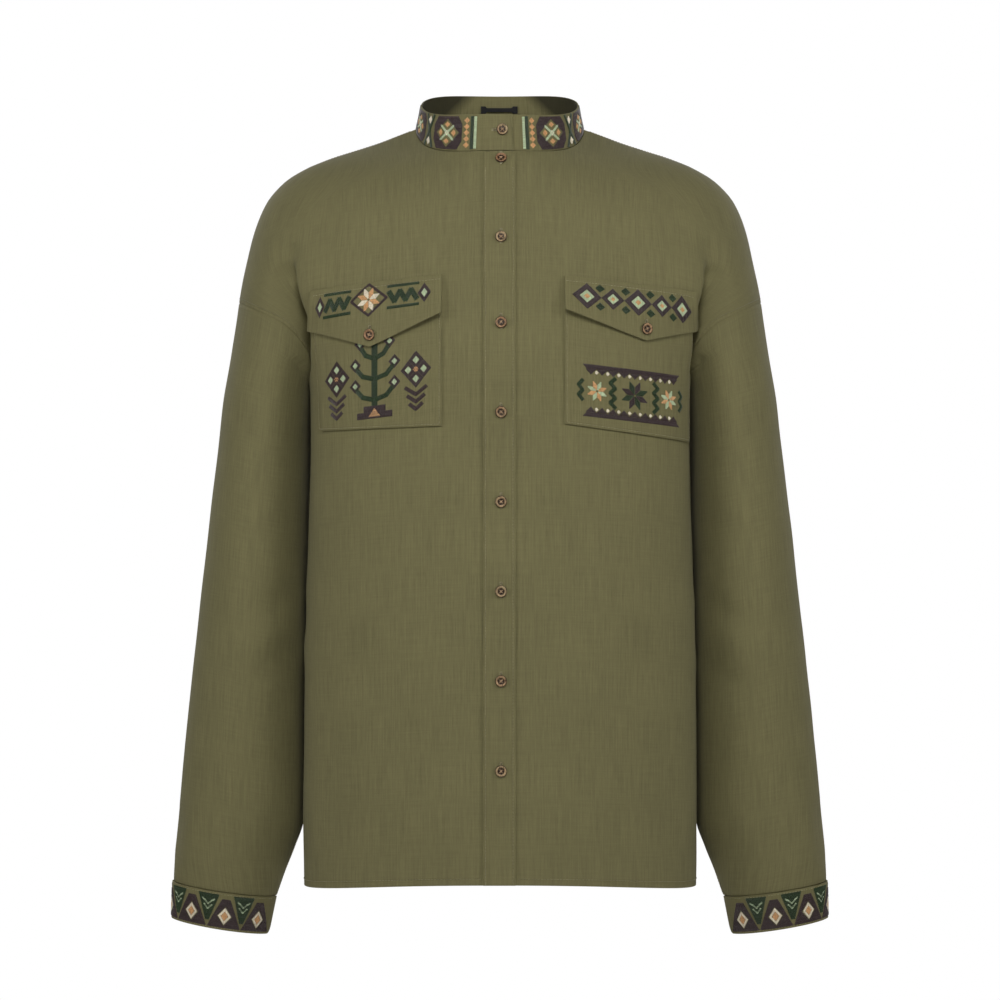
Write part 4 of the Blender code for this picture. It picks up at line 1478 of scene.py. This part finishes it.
class Pattern:
    """Stitches for each colour of thread, as pairs of places."""

    def __init__(self):
        self.stitches = {colour: [] for colour in THREADS}

    def fill(self, colour, loops, angle=90.0):
        """Rows of stitches inside closed loops, even-odd, at this angle to the length."""
        turn = math.radians(angle)
        run = np.array([math.cos(turn), math.sin(turn)])
        step = np.array([-math.sin(turn), math.cos(turn)])
        loops = [np.array(loop, dtype=float) for loop in loops]
        turned = [np.stack([loop @ run, loop @ step], axis=1) for loop in loops]
        low = min(loop[:, 1].min() for loop in turned)
        high = max(loop[:, 1].max() for loop in turned)
        for i in range(int((high - low) / SATIN)):
            at = low + (i + 0.5) * SATIN
            cuts = []
            for loop in turned:
                for a, b in zip(loop, np.roll(loop, -1, axis=0)):
                    if (a[1] > at) != (b[1] > at):
                        cuts.append(a[0] + (b[0] - a[0]) * (at - a[1]) / (b[1] - a[1]))
            cuts.sort()
            for start, end in zip(cuts[::2], cuts[1::2]):
                self.row(colour, start, end, run, step * at)

    def row(self, colour, start, end, run, offset):
        """One row of stitches, cut at whole steps unless a piece would be too short."""
        cuts = [k * ROW for k in range(math.floor(start / ROW) + 1, math.ceil(end / ROW))]
        inner = [cut for cut in cuts if ROW_END < cut - start < end - start - ROW_END]
        places = [start, *inner, end]
        for a, b in zip(places, places[1:]):
            if b - a > SHORTEST:
                self.stitches[colour].append((run * a + offset, run * b + offset))

    def satin(self, colour, path, width, closed=False):
        """A line of thread as wide as this, from stitches across the path."""
        corners = [np.array(place, dtype=float) for place in path]
        if closed:
            corners.append(corners[0])
        for a, b in zip(corners, corners[1:]):
            length = np.linalg.norm(b - a)
            forward = (b - a) / length
            across = np.array([-forward[1], forward[0]]) * width / 2
            reach = width / 2 if len(corners) > 2 else 0.0
            count = max(1, round((length + reach) / SATIN))
            for k in range(count):
                middle = a + forward * ((k + 0.5) * (length + reach) / count - reach / 2)
                self.stitches[colour].append((middle - across, middle + across))

    def rhomb(self, colour, s, t, half_s, half_t, angle=90.0, hole=0.0):
        """A lozenge about a place, with a hole that is this share of its size."""
        loops = [rhomb_loop(s, t, half_s, half_t)]
        if hole:
            loops.append(rhomb_loop(s, t, half_s * hole, half_t * hole))
        self.fill(colour, loops, angle)

    def star(self, colours, s, t, radius):
        """An eight-pointed star of rhombs, in two colours by turns."""
        short = radius / (2 * math.cos(math.pi / 8))
        for k in range(8):
            turns = (k * math.pi / 4, (k + 1) * math.pi / 4)
            a, b = (np.array([math.cos(turn), math.sin(turn)]) * short for turn in turns)
            middle = (a + b) / 2
            corners = (a * 0, a, a + b, b)
            loop = [np.array([s, t]) + middle + (corner - middle) * 0.9 for corner in corners]
            outward = math.degrees(math.atan2(middle[1], middle[0]))
            self.fill(colours[k % 2], [loop], angle=outward + 90)

    def laid_on(self, ground, way, start):
        """Strands of each colour on a ground, from the start and the given way along it."""
        strands = {}
        for colour, pairs in self.stitches.items():
            if pairs:
                strands[colour] = ground.stitched(np.array(pairs) * way + start, STITCH_HEIGHT)
        return strands


def rhomb_loop(s, t, half_s, half_t):
    return [(s - half_s, t), (s, t - half_t), (s + half_s, t), (s, t + half_t)]


def sown_field(pattern, s, t, half_s, half_t, colours):
    """A lozenge of four small ones, each with a seed."""
    frame, seed = colours
    for way_s, way_t in ((-0.5, 0), (0.5, 0), (0, -0.5), (0, 0.5)):
        place = (s + way_s * half_s, t + way_t * half_t)
        pattern.rhomb(frame, *place, half_s * 0.48, half_t * 0.48, hole=0.5)
        pattern.rhomb(seed, *place, half_s * 0.2, half_t * 0.2)


def collar_unit(pattern, s):
    """A ribbed field crossed by light lines, then two wedges that point at each other."""
    t, half = 18.0, 16.2
    field = [(s, t - 8), (s + 5, t - half), (s + 31, t - half), (s + 36, t - 8)]
    field += [(s + 36, t + 8), (s + 31, t + half), (s + 5, t + half), (s, t + 8)]
    pattern.fill("brown", [field, rhomb_loop(s + 18, t, 14.5, 14.2)])
    for way in (-1, 1):
        pattern.satin("mint", [(s + 9.5, t - 7.5 * way), (s + 26.5, t + 7.5 * way)], 2.0)
        pattern.rhomb("tan", s + 18 + way * 8.3, t, 2.7, 3.3)
        pattern.rhomb("tan", s + 18, t + way * 8.3, 3.3, 2.7)
        for edge, bend in ((s + 38.6, s + 44.2), (s + 51.4, s + 45.8)):
            pattern.satin("green", [(edge, t - way * half), (bend, t - way * 2), (bend, t)], 3.6)
        pattern.rhomb("cream", s + 45, t + way * 11, 3.1, 4.2)
    pattern.rhomb("cream", s + 18, t, 2.6, 2.9)


def collar_pattern():
    """Lines and small lozenges beside the front opening, then four units round to the back."""
    pattern = Pattern()
    pattern.satin("mint", [(24.6, 2.4), (24.6, 33.6)], 2.6)
    pattern.satin("green", [(28.0, 1.8), (28.0, 34.2)], 3.2)
    for k in range(5):
        pattern.rhomb("tan", 33.6, 6.0 + k * 6.0, 2.9, 2.9)
    for k in range(4):
        collar_unit(pattern, 38.5 + k * 53.0)
    return pattern


def cuff_pattern():
    """Teeth from both edges, dark from below and green from above, with light hearts."""
    pattern = Pattern()
    pitch, low, high = 35.0, 34.4, 2.4
    for k in range(8):
        s = 8.5 + k * pitch
        tooth = [(s, low), (s + 13, high + 4), (s + 21, high + 4), (s + 34, low)]
        pattern.fill("brown", [tooth, rhomb_loop(s + 17, low - 11.5, 7.6, 9.6)])
        pattern.rhomb("cream", s + 17, low - 11.5, 6.4, 8.2, hole=0.62)
        pattern.rhomb("tan", s + 17, low - 11.5, 3.4, 4.4)
        if k == 7:
            break
        top = s + pitch - 0.5
        tip = low - 6
        tooth = [(top - 10.5, high), (top - 2, tip), (top + 2, tip), (top + 10.5, high)]
        pattern.fill("green", [tooth])
        pattern.satin("mint", [(top - 6, high + 5), (top, high + 10), (top + 6, high + 5)], 1.7)
        pattern.satin("mint", [(top - 4, high + 11), (top, high + 15), (top + 4, high + 11)], 1.5)
    return pattern


def right_flap_pattern():
    """A light star in the middle, between stepped waves that end in lozenges."""
    pattern = Pattern()
    pattern.star(("cream", "tan"), 0, 0, 13.0)
    pattern.satin("brown", rhomb_loop(0, 0, 18.0, 15.0), 2.2, closed=True)
    for way in (-1, 1):
        wave = [(way * (20.5 + 5.4 * k), 4.6 if k % 2 else -4.6) for k in range(6)]
        pattern.satin("green", wave, 5.0)
        for rise in (-10.2, 10.2):
            pattern.satin("green", [(way * 18.5, rise), (way * 50, rise)], 2.6)
        pattern.rhomb("brown", way * 55, 0, 6.5, 9.5, hole=0.5)
        pattern.rhomb("mint", way * 55, 0, 2.8, 4.2)
    return pattern


def left_flap_pattern():
    """A chain of dark frames with light hearts."""
    pattern = Pattern()
    for k in range(-2, 3):
        size = 1.0 if k % 2 == 0 else 0.8
        s = k * 25.5
        pattern.rhomb("brown", s, 0, 14.2 * size, 12.6 * size, angle=0, hole=0.54)
        pattern.rhomb("mint", s, 0, 6.9 * size, 6.1 * size, hole=0.45)
        pattern.rhomb("tan", s, 0, 2.9 * size, 2.6 * size)
    for k in range(-2, 2):
        for rise in (-1, 1):
            pattern.rhomb("green", (k + 0.5) * 25.5, rise * 8.8, 4.6, 3.9)
    return pattern


def right_bag_pattern():
    """A tree on a stepped base, with buds, between two sown fields."""
    pattern = Pattern()
    pattern.satin("green", [(0, -38), (0, 26)], 6.0)
    for k, reach in enumerate((20, 20, 15)):
        t = 20 - k * 20
        for way in (-1, 1):
            branch = [(way * 2, t), (way * reach * 0.6, t - 3), (way * reach * 0.95, t - 11)]
            pattern.satin("green", branch, 4.4)
            pattern.rhomb("brown", way * reach, t - 14.5, 5.8, 6.6, hole=0.5)
            pattern.rhomb("mint", way * reach, t - 14.5, 2.6, 3.0)
    left_steps = [(-18, 38), (-18, 32), (-11, 32), (-11, 26)]
    right_steps = [(11, 26), (11, 32), (18, 32), (18, 38)]
    pattern.fill("brown", [left_steps + right_steps])
    pattern.fill("tan", [[(-6, 36.4), (0, 28), (6, 36.4)]])
    for way in (-1, 1):
        s = way * 41
        sown_field(pattern, s, -4, 15, 18, ("brown", "mint"))
        pattern.rhomb("tan", s, -4, 3.0, 3.6)
        for k, half in enumerate((10, 8, 6)):
            top = 18 + k * 7
            low = top - half * 0.5
            pattern.satin("brown", [(s - half, low), (s, top + 2), (s + half, low)], 3.4)
    return pattern


def left_bag_pattern():
    """A frieze of three stars between toothed borders, parted by green zigzags."""
    pattern = Pattern()
    pattern.star(("brown", "green"), 0, 0, 15.5)
    for way in (-1, 1):
        pattern.star(("mint", "tan"), way * 38, 0, 11.0)
        pattern.satin("green", [(way * (20 + 5 * (k % 2)), -14 + 4.7 * k) for k in range(7)], 3.6)
        pattern.satin("green", [(way * (52 + 4 * (k % 2)), -9.4 + 4.7 * k) for k in range(5)], 3.4)
        border = [(-48, way * 21), (-52, way * 25), (52, way * 25), (48, way * 21)]
        pattern.fill("brown", [border])
        for k in range(-4, 5):
            base, tip = way * 20.6, way * 15.4
            pattern.fill("brown", [[(k * 11 - 5, base), (k * 11, tip), (k * 11 + 5, base)]])
        for k in range(-4, 4):
            pattern.rhomb("cream", (k + 0.5) * 11, way * 17.6, 1.8, 1.8)
    return pattern


# --------------------------------------------------------------------------------------------------
# Sewing

# Where the stitches run: beside an edge in millimetres, or as a share of the way to it
PLACKET_INSETS = (2.2, -2.6)
SIDE_ROWS = (0.993, 0.972)
SIDE_ROW_SHIFT = 0.012
ARMHOLE_SHARE = 0.975
ARMHOLE_END = 0.985
BAG_INSET = 2.0
BAG_LINE_TOP = 14
FLAP_LINE = 5.2
CUFF_LINE_END = 268.0
BUTTONHOLE = 13.0
BAR_STITCH = 0.5


def stitched_places(surface, places, side, out=0.0):
    """Running stitches through levels and courses of the body or a sleeve."""
    mirror = Vector((side, 1, 1))
    points, normals = [], []
    for level, course in places:
        normal = normal_to(surface, level, course)
        points.append((surface(level, course) + normal * out) * mirror)
        normals.append(normal * mirror)
    return sewn(points, normals)


def run_line(surface, path, side=1, out=0.0, count=60):
    """Running stitches along straight lines between levels and courses."""
    return stitched_places(surface, along_corners(path, count), side, out)


def armhole_line(side):
    """Running stitches beside the armhole, on the body."""
    places = []
    for turn in steps(ARMHOLE_END, -ARMHOLE_END, 120):
        level = NECK_LEVEL + (armhole_level(turn) - NECK_LEVEL) * ARMHOLE_SHARE
        places.append((level, 2 - turn))
    return stitched_places(on_body, places, side)


def body_lines():
    """Placket, hem, side seams, seams of the sleeves and shoulders."""
    strands = []
    for edge, inset in zip(PLACKET_EDGES, PLACKET_INSETS):
        levels = [4.0, *steps(-10, HEM + 1, 40)]
        path = [(level, course_at(level, edge + inset)) for level in levels]
        strands += run_line(on_body, path, out=LAID_GAP + WALL, count=4)
    for side, edge in ((-1, -PLACKET_EDGES[0] + 2), (1, PLACKET_EDGES[1] + 2)):
        hem = HEM + HEM_SEAM
        strands += run_line(on_body, [(hem, course_at(hem, edge)), (hem, 0.999)], side)
        strands += run_line(on_body, [(hem, 3.001), (hem, 4.0)], side)
        for reach in SIDE_ROWS:
            behind, turn = 4 - reach, reach - SIDE_ROW_SHIFT
            seam = [(ARMPIT - 4, behind), (HEM + 1, behind)]
            strands += run_line(on_body, seam, side, count=120)
            seam = [(ARMPIT - 6, turn), (CUFF_TOP + 2, turn)]
            strands += run_line(on_sleeve, seam, side, count=120)
        strands += run_line(on_body, [(NECK_LEVEL - 2, 2.012), (DROP_SHOULDER + 4, 2.012)], side)
    return strands


def pocket_lines(pocket, bag, flap):
    """One row round a bag and one below the top of its flap."""
    width = bag.along[1]
    inner = flap_top(pocket, pocket.inner_x) - pocket.bag_inner_low - BAG_INSET
    outer = flap_top(pocket, pocket.outer_x) - pocket.bag_outer_low - BAG_INSET
    corners = [
        (BAG_INSET, BAG_LINE_TOP),
        (BAG_INSET, inner),
        (width - pocket.bag_taper - BAG_INSET, outer),
        (width - BAG_INSET, BAG_LINE_TOP),
    ]
    return bag.line(corners) + flap.line([(1.0, FLAP_LINE), (flap.along[1] - 1, FLAP_LINE)])


def cuff_lines(ground):
    """One row below the top edge and one above the lower edge, past the rounded corner."""
    top = ground.line([(1.8, 1.8), (CUFF_LINE_END, 1.8)])
    return top + ground.line([(10, 35.0), (CUFF_LINE_END, 35.0)])


def buttonhole(middle, normal, along):
    """Close stitches round a slit, with a bar at each end."""
    middle, normal, along = (np.array(value) for value in (middle, normal, along))
    across = np.cross(normal, along)
    count = int(BUTTONHOLE / BAR_STITCH)
    points = []
    for k in range(count + 1):
        at = middle + along * (k / count - 0.5) * BUTTONHOLE
        for way in (-1, 1):
            points.append([at + across * way * reach for reach in (0.25, 0.8, 1.35)])
    for end in (-0.5, 0.5):
        for k in range(4):
            beyond = math.copysign(0.3 + 0.4 * k, end)
            at = middle + along * (end * BUTTONHOLE + beyond - end * 0.6)
            points.append([at - across * 1.3, at, at + across * 1.3])
    points = np.array(points)
    heights = np.tile([0.0, 0.32, 0.0], len(points))
    normals = np.tile(normal, (points.shape[0] * 3, 1))
    return list(laid(points.reshape(-1, 3), normals, heights).reshape(-1, 3, 3))


# --------------------------------------------------------------------------------------------------
# Buttons and hanger loop

BUTTON_SECTION = (
    (0.0, 1.55), (1.2, 1.56), (2.3, 1.6), (2.9, 1.64), (3.3, 1.72), (3.75, 1.95),
    (4.1, 2.32), (4.5, 2.52), (4.95, 2.5), (5.4, 2.25), (5.7, 1.8), (5.72, 1.4),
    (5.45, 0.85), (4.7, 0.32), (3.6, 0.05), (0.0, 0.0),
)
BUTTON_SIDES = 48
# The well's radius and the rim's, in millimetres, bound the painted shade
BUTTON_WELL = 3.6
BUTTON_RIM = 5.0
BUTTON_HOLE = 1.3
HOLE_RADIUS = 0.9


def button_mesh(finish):
    """A turned button with a raised rim and four holes."""
    mesh = bpy.data.meshes.new("button")
    points = [(x * MM, 0, z * MM) for x, z in BUTTON_SECTION]
    mesh.from_pydata(points, [(i, i + 1) for i in range(len(points) - 1)], [])
    button = placed("button", mesh)
    whole = {"use_merge_vertices": True, "merge_threshold": 0.00003, "use_normal_calculate": True}
    modify(button, "SCREW", steps=BUTTON_SIDES, render_steps=BUTTON_SIDES, **whole)
    baked(button)
    for x in (-BUTTON_HOLE, BUTTON_HOLE):
        for y in (-BUTTON_HOLE, BUTTON_HOLE):
            bpy.ops.mesh.primitive_cylinder_add(vertices=16, radius=HOLE_RADIUS * MM, depth=8 * MM)
            drill = bpy.context.object
            drill.location = (x * MM, y * MM, 0.001)
            modify(button, "BOOLEAN", operation="DIFFERENCE", solver="EXACT", object=drill)
            bpy.context.view_layer.update()
            baked(button)
            bpy.data.objects.remove(drill)
    mesh = button.data
    bpy.data.objects.remove(button)
    # Painted shade: the well inside the rim and the outer wall are darkened
    painted_shade_well_and_edge = []
    for point in mesh.vertices:
        away = point.co.xy.length / MM
        well = smooth(BUTTON_WELL - away) * (point.co.z > MM)
        painted_shade_well_and_edge.append(max(well, smooth((away - BUTTON_RIM) / 0.6)))
    mesh.attributes.new("painted_shade_well_and_edge", "FLOAT", "POINT").data.foreach_set("value", painted_shade_well_and_edge)
    mesh.shade_smooth()
    mesh.set_sharp_from_angle(angle=math.radians(55))
    mesh.materials.clear()
    mesh.materials.append(finish)
    return mesh


def button_places():
    """Node, point and normal of the back of every button."""
    normal = (on_collar(1, 0) - on_collar(0, 0)).cross(Vector((-1, 0, 0))).normalized()
    x, height = COLLAR_BUTTON
    share = (height - COLLAR_BASE.z_front) / (COLLAR_TOP.z_front - COLLAR_BASE.z_front)
    point = on_collar(share, math.degrees(x / COLLAR_BASE.half)) + normal * BUTTON_GAP
    places = [("button_collar", point, normal)]
    for i, height in enumerate(BUTTON_HEIGHTS):
        place = above_front(1, BUTTON_X, height, LAID_GAP + WALL + BUTTON_GAP)
        places.append((f"button_placket_{i + 1}", *place))
    for name, pocket in POCKETS.items():
        height = pocket.point_z + FLAP_BUTTON_RISE
        depth = flap_top(pocket, pocket.point_x) - height
        out = flap_face(pocket, pocket.point_x, depth) + BUTTON_GAP
        place = above_front(pocket.side, pocket.point_x, height, out)
        places.append((f"button_flap_{name}", *place))
    return places


def button_threads(turn):
    """Thread crossed through the four holes, doubled."""
    path = [(-1, -0.6), (-1, 1.5), (-0.45, 1.95), (0.45, 2.0), (1, 1.5), (1, -0.6)]
    strands = []
    for way in (-1, 1):
        for beside in (-0.2, 0.2):
            strand = []
            for x, z in path:
                x *= BUTTON_HOLE
                strand.append(tuple(turn @ Vector((x + beside, way * x - way * beside, z))))
            strands.append(np.array(strand))
    return strands


LOOP_PLACE = (-0.7, 52.6, 35.0)
LOOP_HALF = 18.5
LOOP_END = 6.0
LOOP_SHOULDER = 1.5
LOOP_ENDS_HALF = 3.7
LOOP_MIDDLE_HALF = 2.0
LOOP_OUT = 0.5
LOOP_BOW = 0.9


def loop_rows():
    """A tape sewn down at its wide ends, with a narrow middle that bows off the collar."""
    lean = math.atan2(COLLAR_TOP.y_back - COLLAR_BASE.y_back, COLLAR_TOP.z_back - COLLAR_BASE.z_back)
    base = Matrix.Translation(LOOP_PLACE) @ Matrix.Rotation(math.pi / 2 - lean, 4, "X")
    rows = []
    for share in steps(1.0, -1.0, 6):
        row = []
        for x in steps(-LOOP_HALF, LOOP_HALF, 60):
            narrow = smooth((LOOP_HALF - LOOP_END - abs(x)) / LOOP_SHOULDER + 1)
            half = LOOP_ENDS_HALF + (LOOP_MIDDLE_HALF - LOOP_ENDS_HALF) * narrow
            bow = LOOP_BOW * math.cos(x / LOOP_HALF * math.pi / 2) ** 2
            row.append(base @ Vector((x, share * half, LOOP_OUT + bow)))
        rows.append(row)
    return rows


# --------------------------------------------------------------------------------------------------
# Stage


def add_light(name, place, target, size, power):
    light = bpy.data.lights.new(name, "AREA")
    light.shape = "DISK"
    light.size = size
    light.energy = power
    lamp = placed(name, light)
    lamp.location = place
    lamp.rotation_euler = (Vector(target) - Vector(place)).to_track_quat("-Z", "Y").to_euler()
    lamp.visible_camera = False


def set_camera():
    """A camera straight in front of the shirt."""
    view = bpy.data.cameras.new("camera")
    view.lens = LENS
    view.sensor_width = SENSOR
    camera = placed("camera", view)
    camera.location = (0, -CAMERA_AWAY, CAMERA_HEIGHT)
    camera.rotation_euler = (math.radians(90), 0, 0)
    bpy.context.scene.camera = camera
    bpy.context.scene.view_settings.view_transform = "Standard"


def set_light():
    """Soft light from the front, and a world that is white where it shows."""
    add_light("near", (0, -1.5, 0.5), (0, 0, -0.25), 0.55, NEAR_POWER)
    for side in (-1, 1):
        add_light("beside", (side * 1.5, -1.05, 0.15), (0, 0, -0.3), 0.6, BESIDE_POWER)
    add_light("far", (0, -4.5, 0.4), (0, 0, -0.4), 3.0, FAR_POWER)
    for side in (-1, 1):
        add_light("behind", (side * 1.6, 2.4, 1.2), (0, 0, -0.3), 1.6, BACK_POWER)
    world = bpy.data.worlds.new("studio")
    world.use_nodes = True
    bpy.context.scene.world = world
    nodes, links = world.node_tree.nodes, world.node_tree.links
    soft = nodes["Background"]
    soft.inputs["Color"].default_value = (1, 1, 1, 1)
    soft.inputs["Strength"].default_value = WORLD_LIGHT
    plain = nodes.new("ShaderNodeBackground")
    plain.inputs["Color"].default_value = (1, 1, 1, 1)
    path = nodes.new("ShaderNodeLightPath")
    mix = nodes.new("ShaderNodeMixShader")
    links.new(path.outputs["Is Camera Ray"], mix.inputs[0])
    links.new(soft.outputs[0], mix.inputs[1])
    links.new(plain.outputs[0], mix.inputs[2])
    links.new(mix.outputs[0], nodes["World Output"].inputs["Surface"])


def set_floor():
    """A pale round floor that is lighter where the camera sees it."""
    place = (0, 0, FLOOR_HEIGHT)
    bpy.ops.mesh.primitive_circle_add(
        vertices=96, radius=FLOOR_RADIUS, fill_type="NGON", location=place
    )
    floor = bpy.context.object
    floor.name = "floor"
    finish = Finish("floor", FLOOR_PALE, roughness=0.7)
    clouds = finish.cloud(finish.object_place(), scale=6.0)
    finish.colour_from(finish.shaded(FLOOR_PALE, 0.99 + clouds * 0.02))
    glow = {"Color": (1, 1, 1, 1), "Strength": FLOOR_GLOW}
    pale = finish.add("ShaderNodeEmission", (), glow)
    seen = finish.add("ShaderNodeLightPath")
    plain = Value(finish, finish.shader.outputs[0])
    inputs = {0: seen * FLOOR_PLAIN, 1: plain, 2: pale}
    mixed = finish.add("ShaderNodeMixShader", (), inputs)
    finish.fill(finish.nodes["Material Output"].inputs["Surface"], mixed)
    floor.data.materials.append(finish.material)


# --------------------------------------------------------------------------------------------------
# The shirt


# Each embroidered ground's pattern, and the x and depth of its middle
FLAP_PATTERNS = {"right": (right_flap_pattern, 125.5, 17.0), "left": (left_flap_pattern, 132.0, 18.5)}
BAG_PATTERNS = {"right": (right_bag_pattern, 120.0, 93.0), "left": (left_bag_pattern, 129.0, 108.0)}


class Shirt:
    """The pieces of the shirt, each with the nodes it replaces."""

    def __init__(self):
        self.shirting = cloth_finish("shirt_cloth", OLIVE)
        # The collar's finish has painted shade on its inner face towards the ends
        self.collar_painted_shade = cloth_finish("shirt_cloth_collar_painted_shade", OLIVE, painted_shade_ends=PAINTED_SHADE_ENDS)
        self.strands = {}
        self.lines = []

    def keep(self, piece, slot, nodes=()):
        """Puts a piece on the body, in the place of these nodes."""
        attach(piece, BODY)
        if nodes:
            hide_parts(*nodes)

    def cloth(self, node, rows, rests_on, **settings):
        """A sheet in the place of a node, with the cut that it was sewn from."""
        piece = cloth("cloth_" + node, rows, **settings)
        # The collar takes the finish with painted shade inside its ends
        piece.data.materials.append(self.collar_painted_shade if node == "collar" else self.shirting)
        self.keep(piece, "shirt_cloth", (node,))
        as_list(rests_on)

    def body(self):
        hem = {"drape": True, "fold": HEM + HEM_FOLD}
        band = {"wall": CUFF_WALL, "edge": BAND_EDGE}
        right, left = half_panel(False, -RIGHT_FRONT_EDGE), half_panel(False, LEFT_FRONT_EDGE)
        self.cloth("front_right", right, ["cloth_back"], side=-1, **hem)
        self.cloth("front_left", left, ["cloth_back"], **hem)
        self.cloth("back", back_rows(), ["cloth_collar"], middle=True, **hem)
        fronts = ["cloth_front_left", "cloth_front_right"]
        self.cloth("placket", placket_rows(), fronts, wall=WALL)
        self.cloth("collar", collar_rows(), ["cloth_back"], wall=COLLAR_WALL, edge=BAND_EDGE)
        for name, side in (("right", -1), ("left", 1)):
            tube = {"side": side, "closed": True, "middle": True}
            self.cloth(f"sleeve_{name}", sleeve_rows(), ["cloth_back"], **tube)
            self.cloth(f"cuff_{name}", cuff_rows(), [f"cloth_sleeve_{name}"], side=side, **band)
        for name, pocket in POCKETS.items():
            rests, side = [f"cloth_front_{name}"], pocket.side
            self.cloth(f"pocket_{name}", bag_rows(pocket), rests, side=side, wall=BAG_WALL)
            self.cloth(f"flap_{name}", flap_rows(pocket), rests, side=side, wall=FLAP_WALL)

    def embroider(self, place, pattern, ground, way=(1, 1), start=(0, 0)):
        """Adds a pattern's strands to those of the same place and colour."""
        for colour, strands in pattern.laid_on(ground, way, start).items():
            self.strands.setdefault((place, colour), []).extend(strands)

    def embroidery(self):
        """Threads of every embroidered place. Its grounds also carry rows of sewing."""
        collar, once_round = collar_ground()
        self.embroider("collar", collar_pattern(), collar, way=(-1, 1))
        self.embroider("collar", collar_pattern(), collar, start=(-once_round, 0))
        self.lines += body_lines()
        for name, side in (("right", -1), ("left", 1)):
            ground = cuff_ground(side)
            self.embroider(f"cuff_{name}", cuff_pattern(), ground)
            self.lines += cuff_lines(ground)
        for name, pocket in POCKETS.items():
            arc = pocket_arc(pocket)
            bag = pocket_ground(pocket, arc, bag_face, BAG_GROUND)
            flap = pocket_ground(pocket, arc, flap_face, FLAP_GROUND)
            for ground, patterns in ((flap, FLAP_PATTERNS), (bag, BAG_PATTERNS)):
                pattern, x, down = patterns[name]
                middle = (float(np.interp(x, *arc)), down)
                self.embroider(f"pocket_{name}", pattern(), ground, start=middle)
            self.lines += pocket_lines(pocket, bag, flap)
        finishes = {}
        for colour, shade in THREADS.items():
            finishes[colour] = thread_finish("embroidery_" + colour, shade)
        for (place, colour), strands in self.strands.items():
            name = f"embroidery_{place}_{colour}"
            piece = threads(name, strands, EMBROIDERY_RADIUS, finishes[colour])
            self.keep(piece, "embroidery_" + colour)

    def button(self, mesh, node, point, normal):
        """Puts a button and its buttonhole in place, and gives the strands of its thread."""
        turn = Vector((0, 0, 1)).rotation_difference(normal).to_matrix()
        place = pressed([point], [normal])[0]
        shape = mesh.copy()
        shape.transform(Matrix.Translation(Vector(place) * MM) @ turn.to_4x4())
        self.keep(placed("shirt_" + node, shape), "button_shell", (node,))
        level = node == "button_collar"
        along = Vector((1, 0, 0)) if level else Vector((0, 0, -1))
        along = (along - normal * along.dot(normal)).normalized()
        under = point - normal * BUTTON_GAP - along * (2.6 if level else 1.2)
        self.lines += buttonhole(under, normal, along)
        return [strand + place for strand in button_threads(turn)]

    def buttons(self):
        mesh = button_mesh(shell_finish())
        bars = []
        for node, point, normal in button_places():
            bars += self.button(mesh, node, point, normal)
        shank = thread_finish("button_thread", SHANK_TAN)
        sewing = thread_finish("sewing_thread", SEWING_OLIVE)
        seam = thread_finish("seam_thread", SEAM_OLIVE)
        armholes = armhole_line(-1) + armhole_line(1)
        for piece in (
            threads("button_threads", bars, SHANK_RADIUS, shank, sides=5),
            threads("sewing_threads", self.lines, SEWING_RADIUS, sewing),
            threads("armhole_threads", armholes, ARMHOLE_RADIUS, seam),
        ):
            self.keep(piece, "sewing_thread")

    def loop(self):
        piece = cloth("tape_hanger_loop", loop_rows(), wall=TAPE_WALL, edge=TAPE_EDGE)
        piece.data.materials.append(tape_finish())
        self.keep(piece, "black_tape", ("hanger_loop",))


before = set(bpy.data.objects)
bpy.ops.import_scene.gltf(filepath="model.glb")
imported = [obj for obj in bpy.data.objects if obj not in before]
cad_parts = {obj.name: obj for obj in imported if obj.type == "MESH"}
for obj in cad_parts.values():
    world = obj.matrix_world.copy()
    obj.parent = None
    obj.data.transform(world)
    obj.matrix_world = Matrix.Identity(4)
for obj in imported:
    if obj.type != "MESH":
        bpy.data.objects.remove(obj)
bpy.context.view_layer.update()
set_camera()
set_light()
set_floor()
shirt = Shirt()
shirt.body()
shirt.embroidery()
shirt.buttons()
shirt.loop()
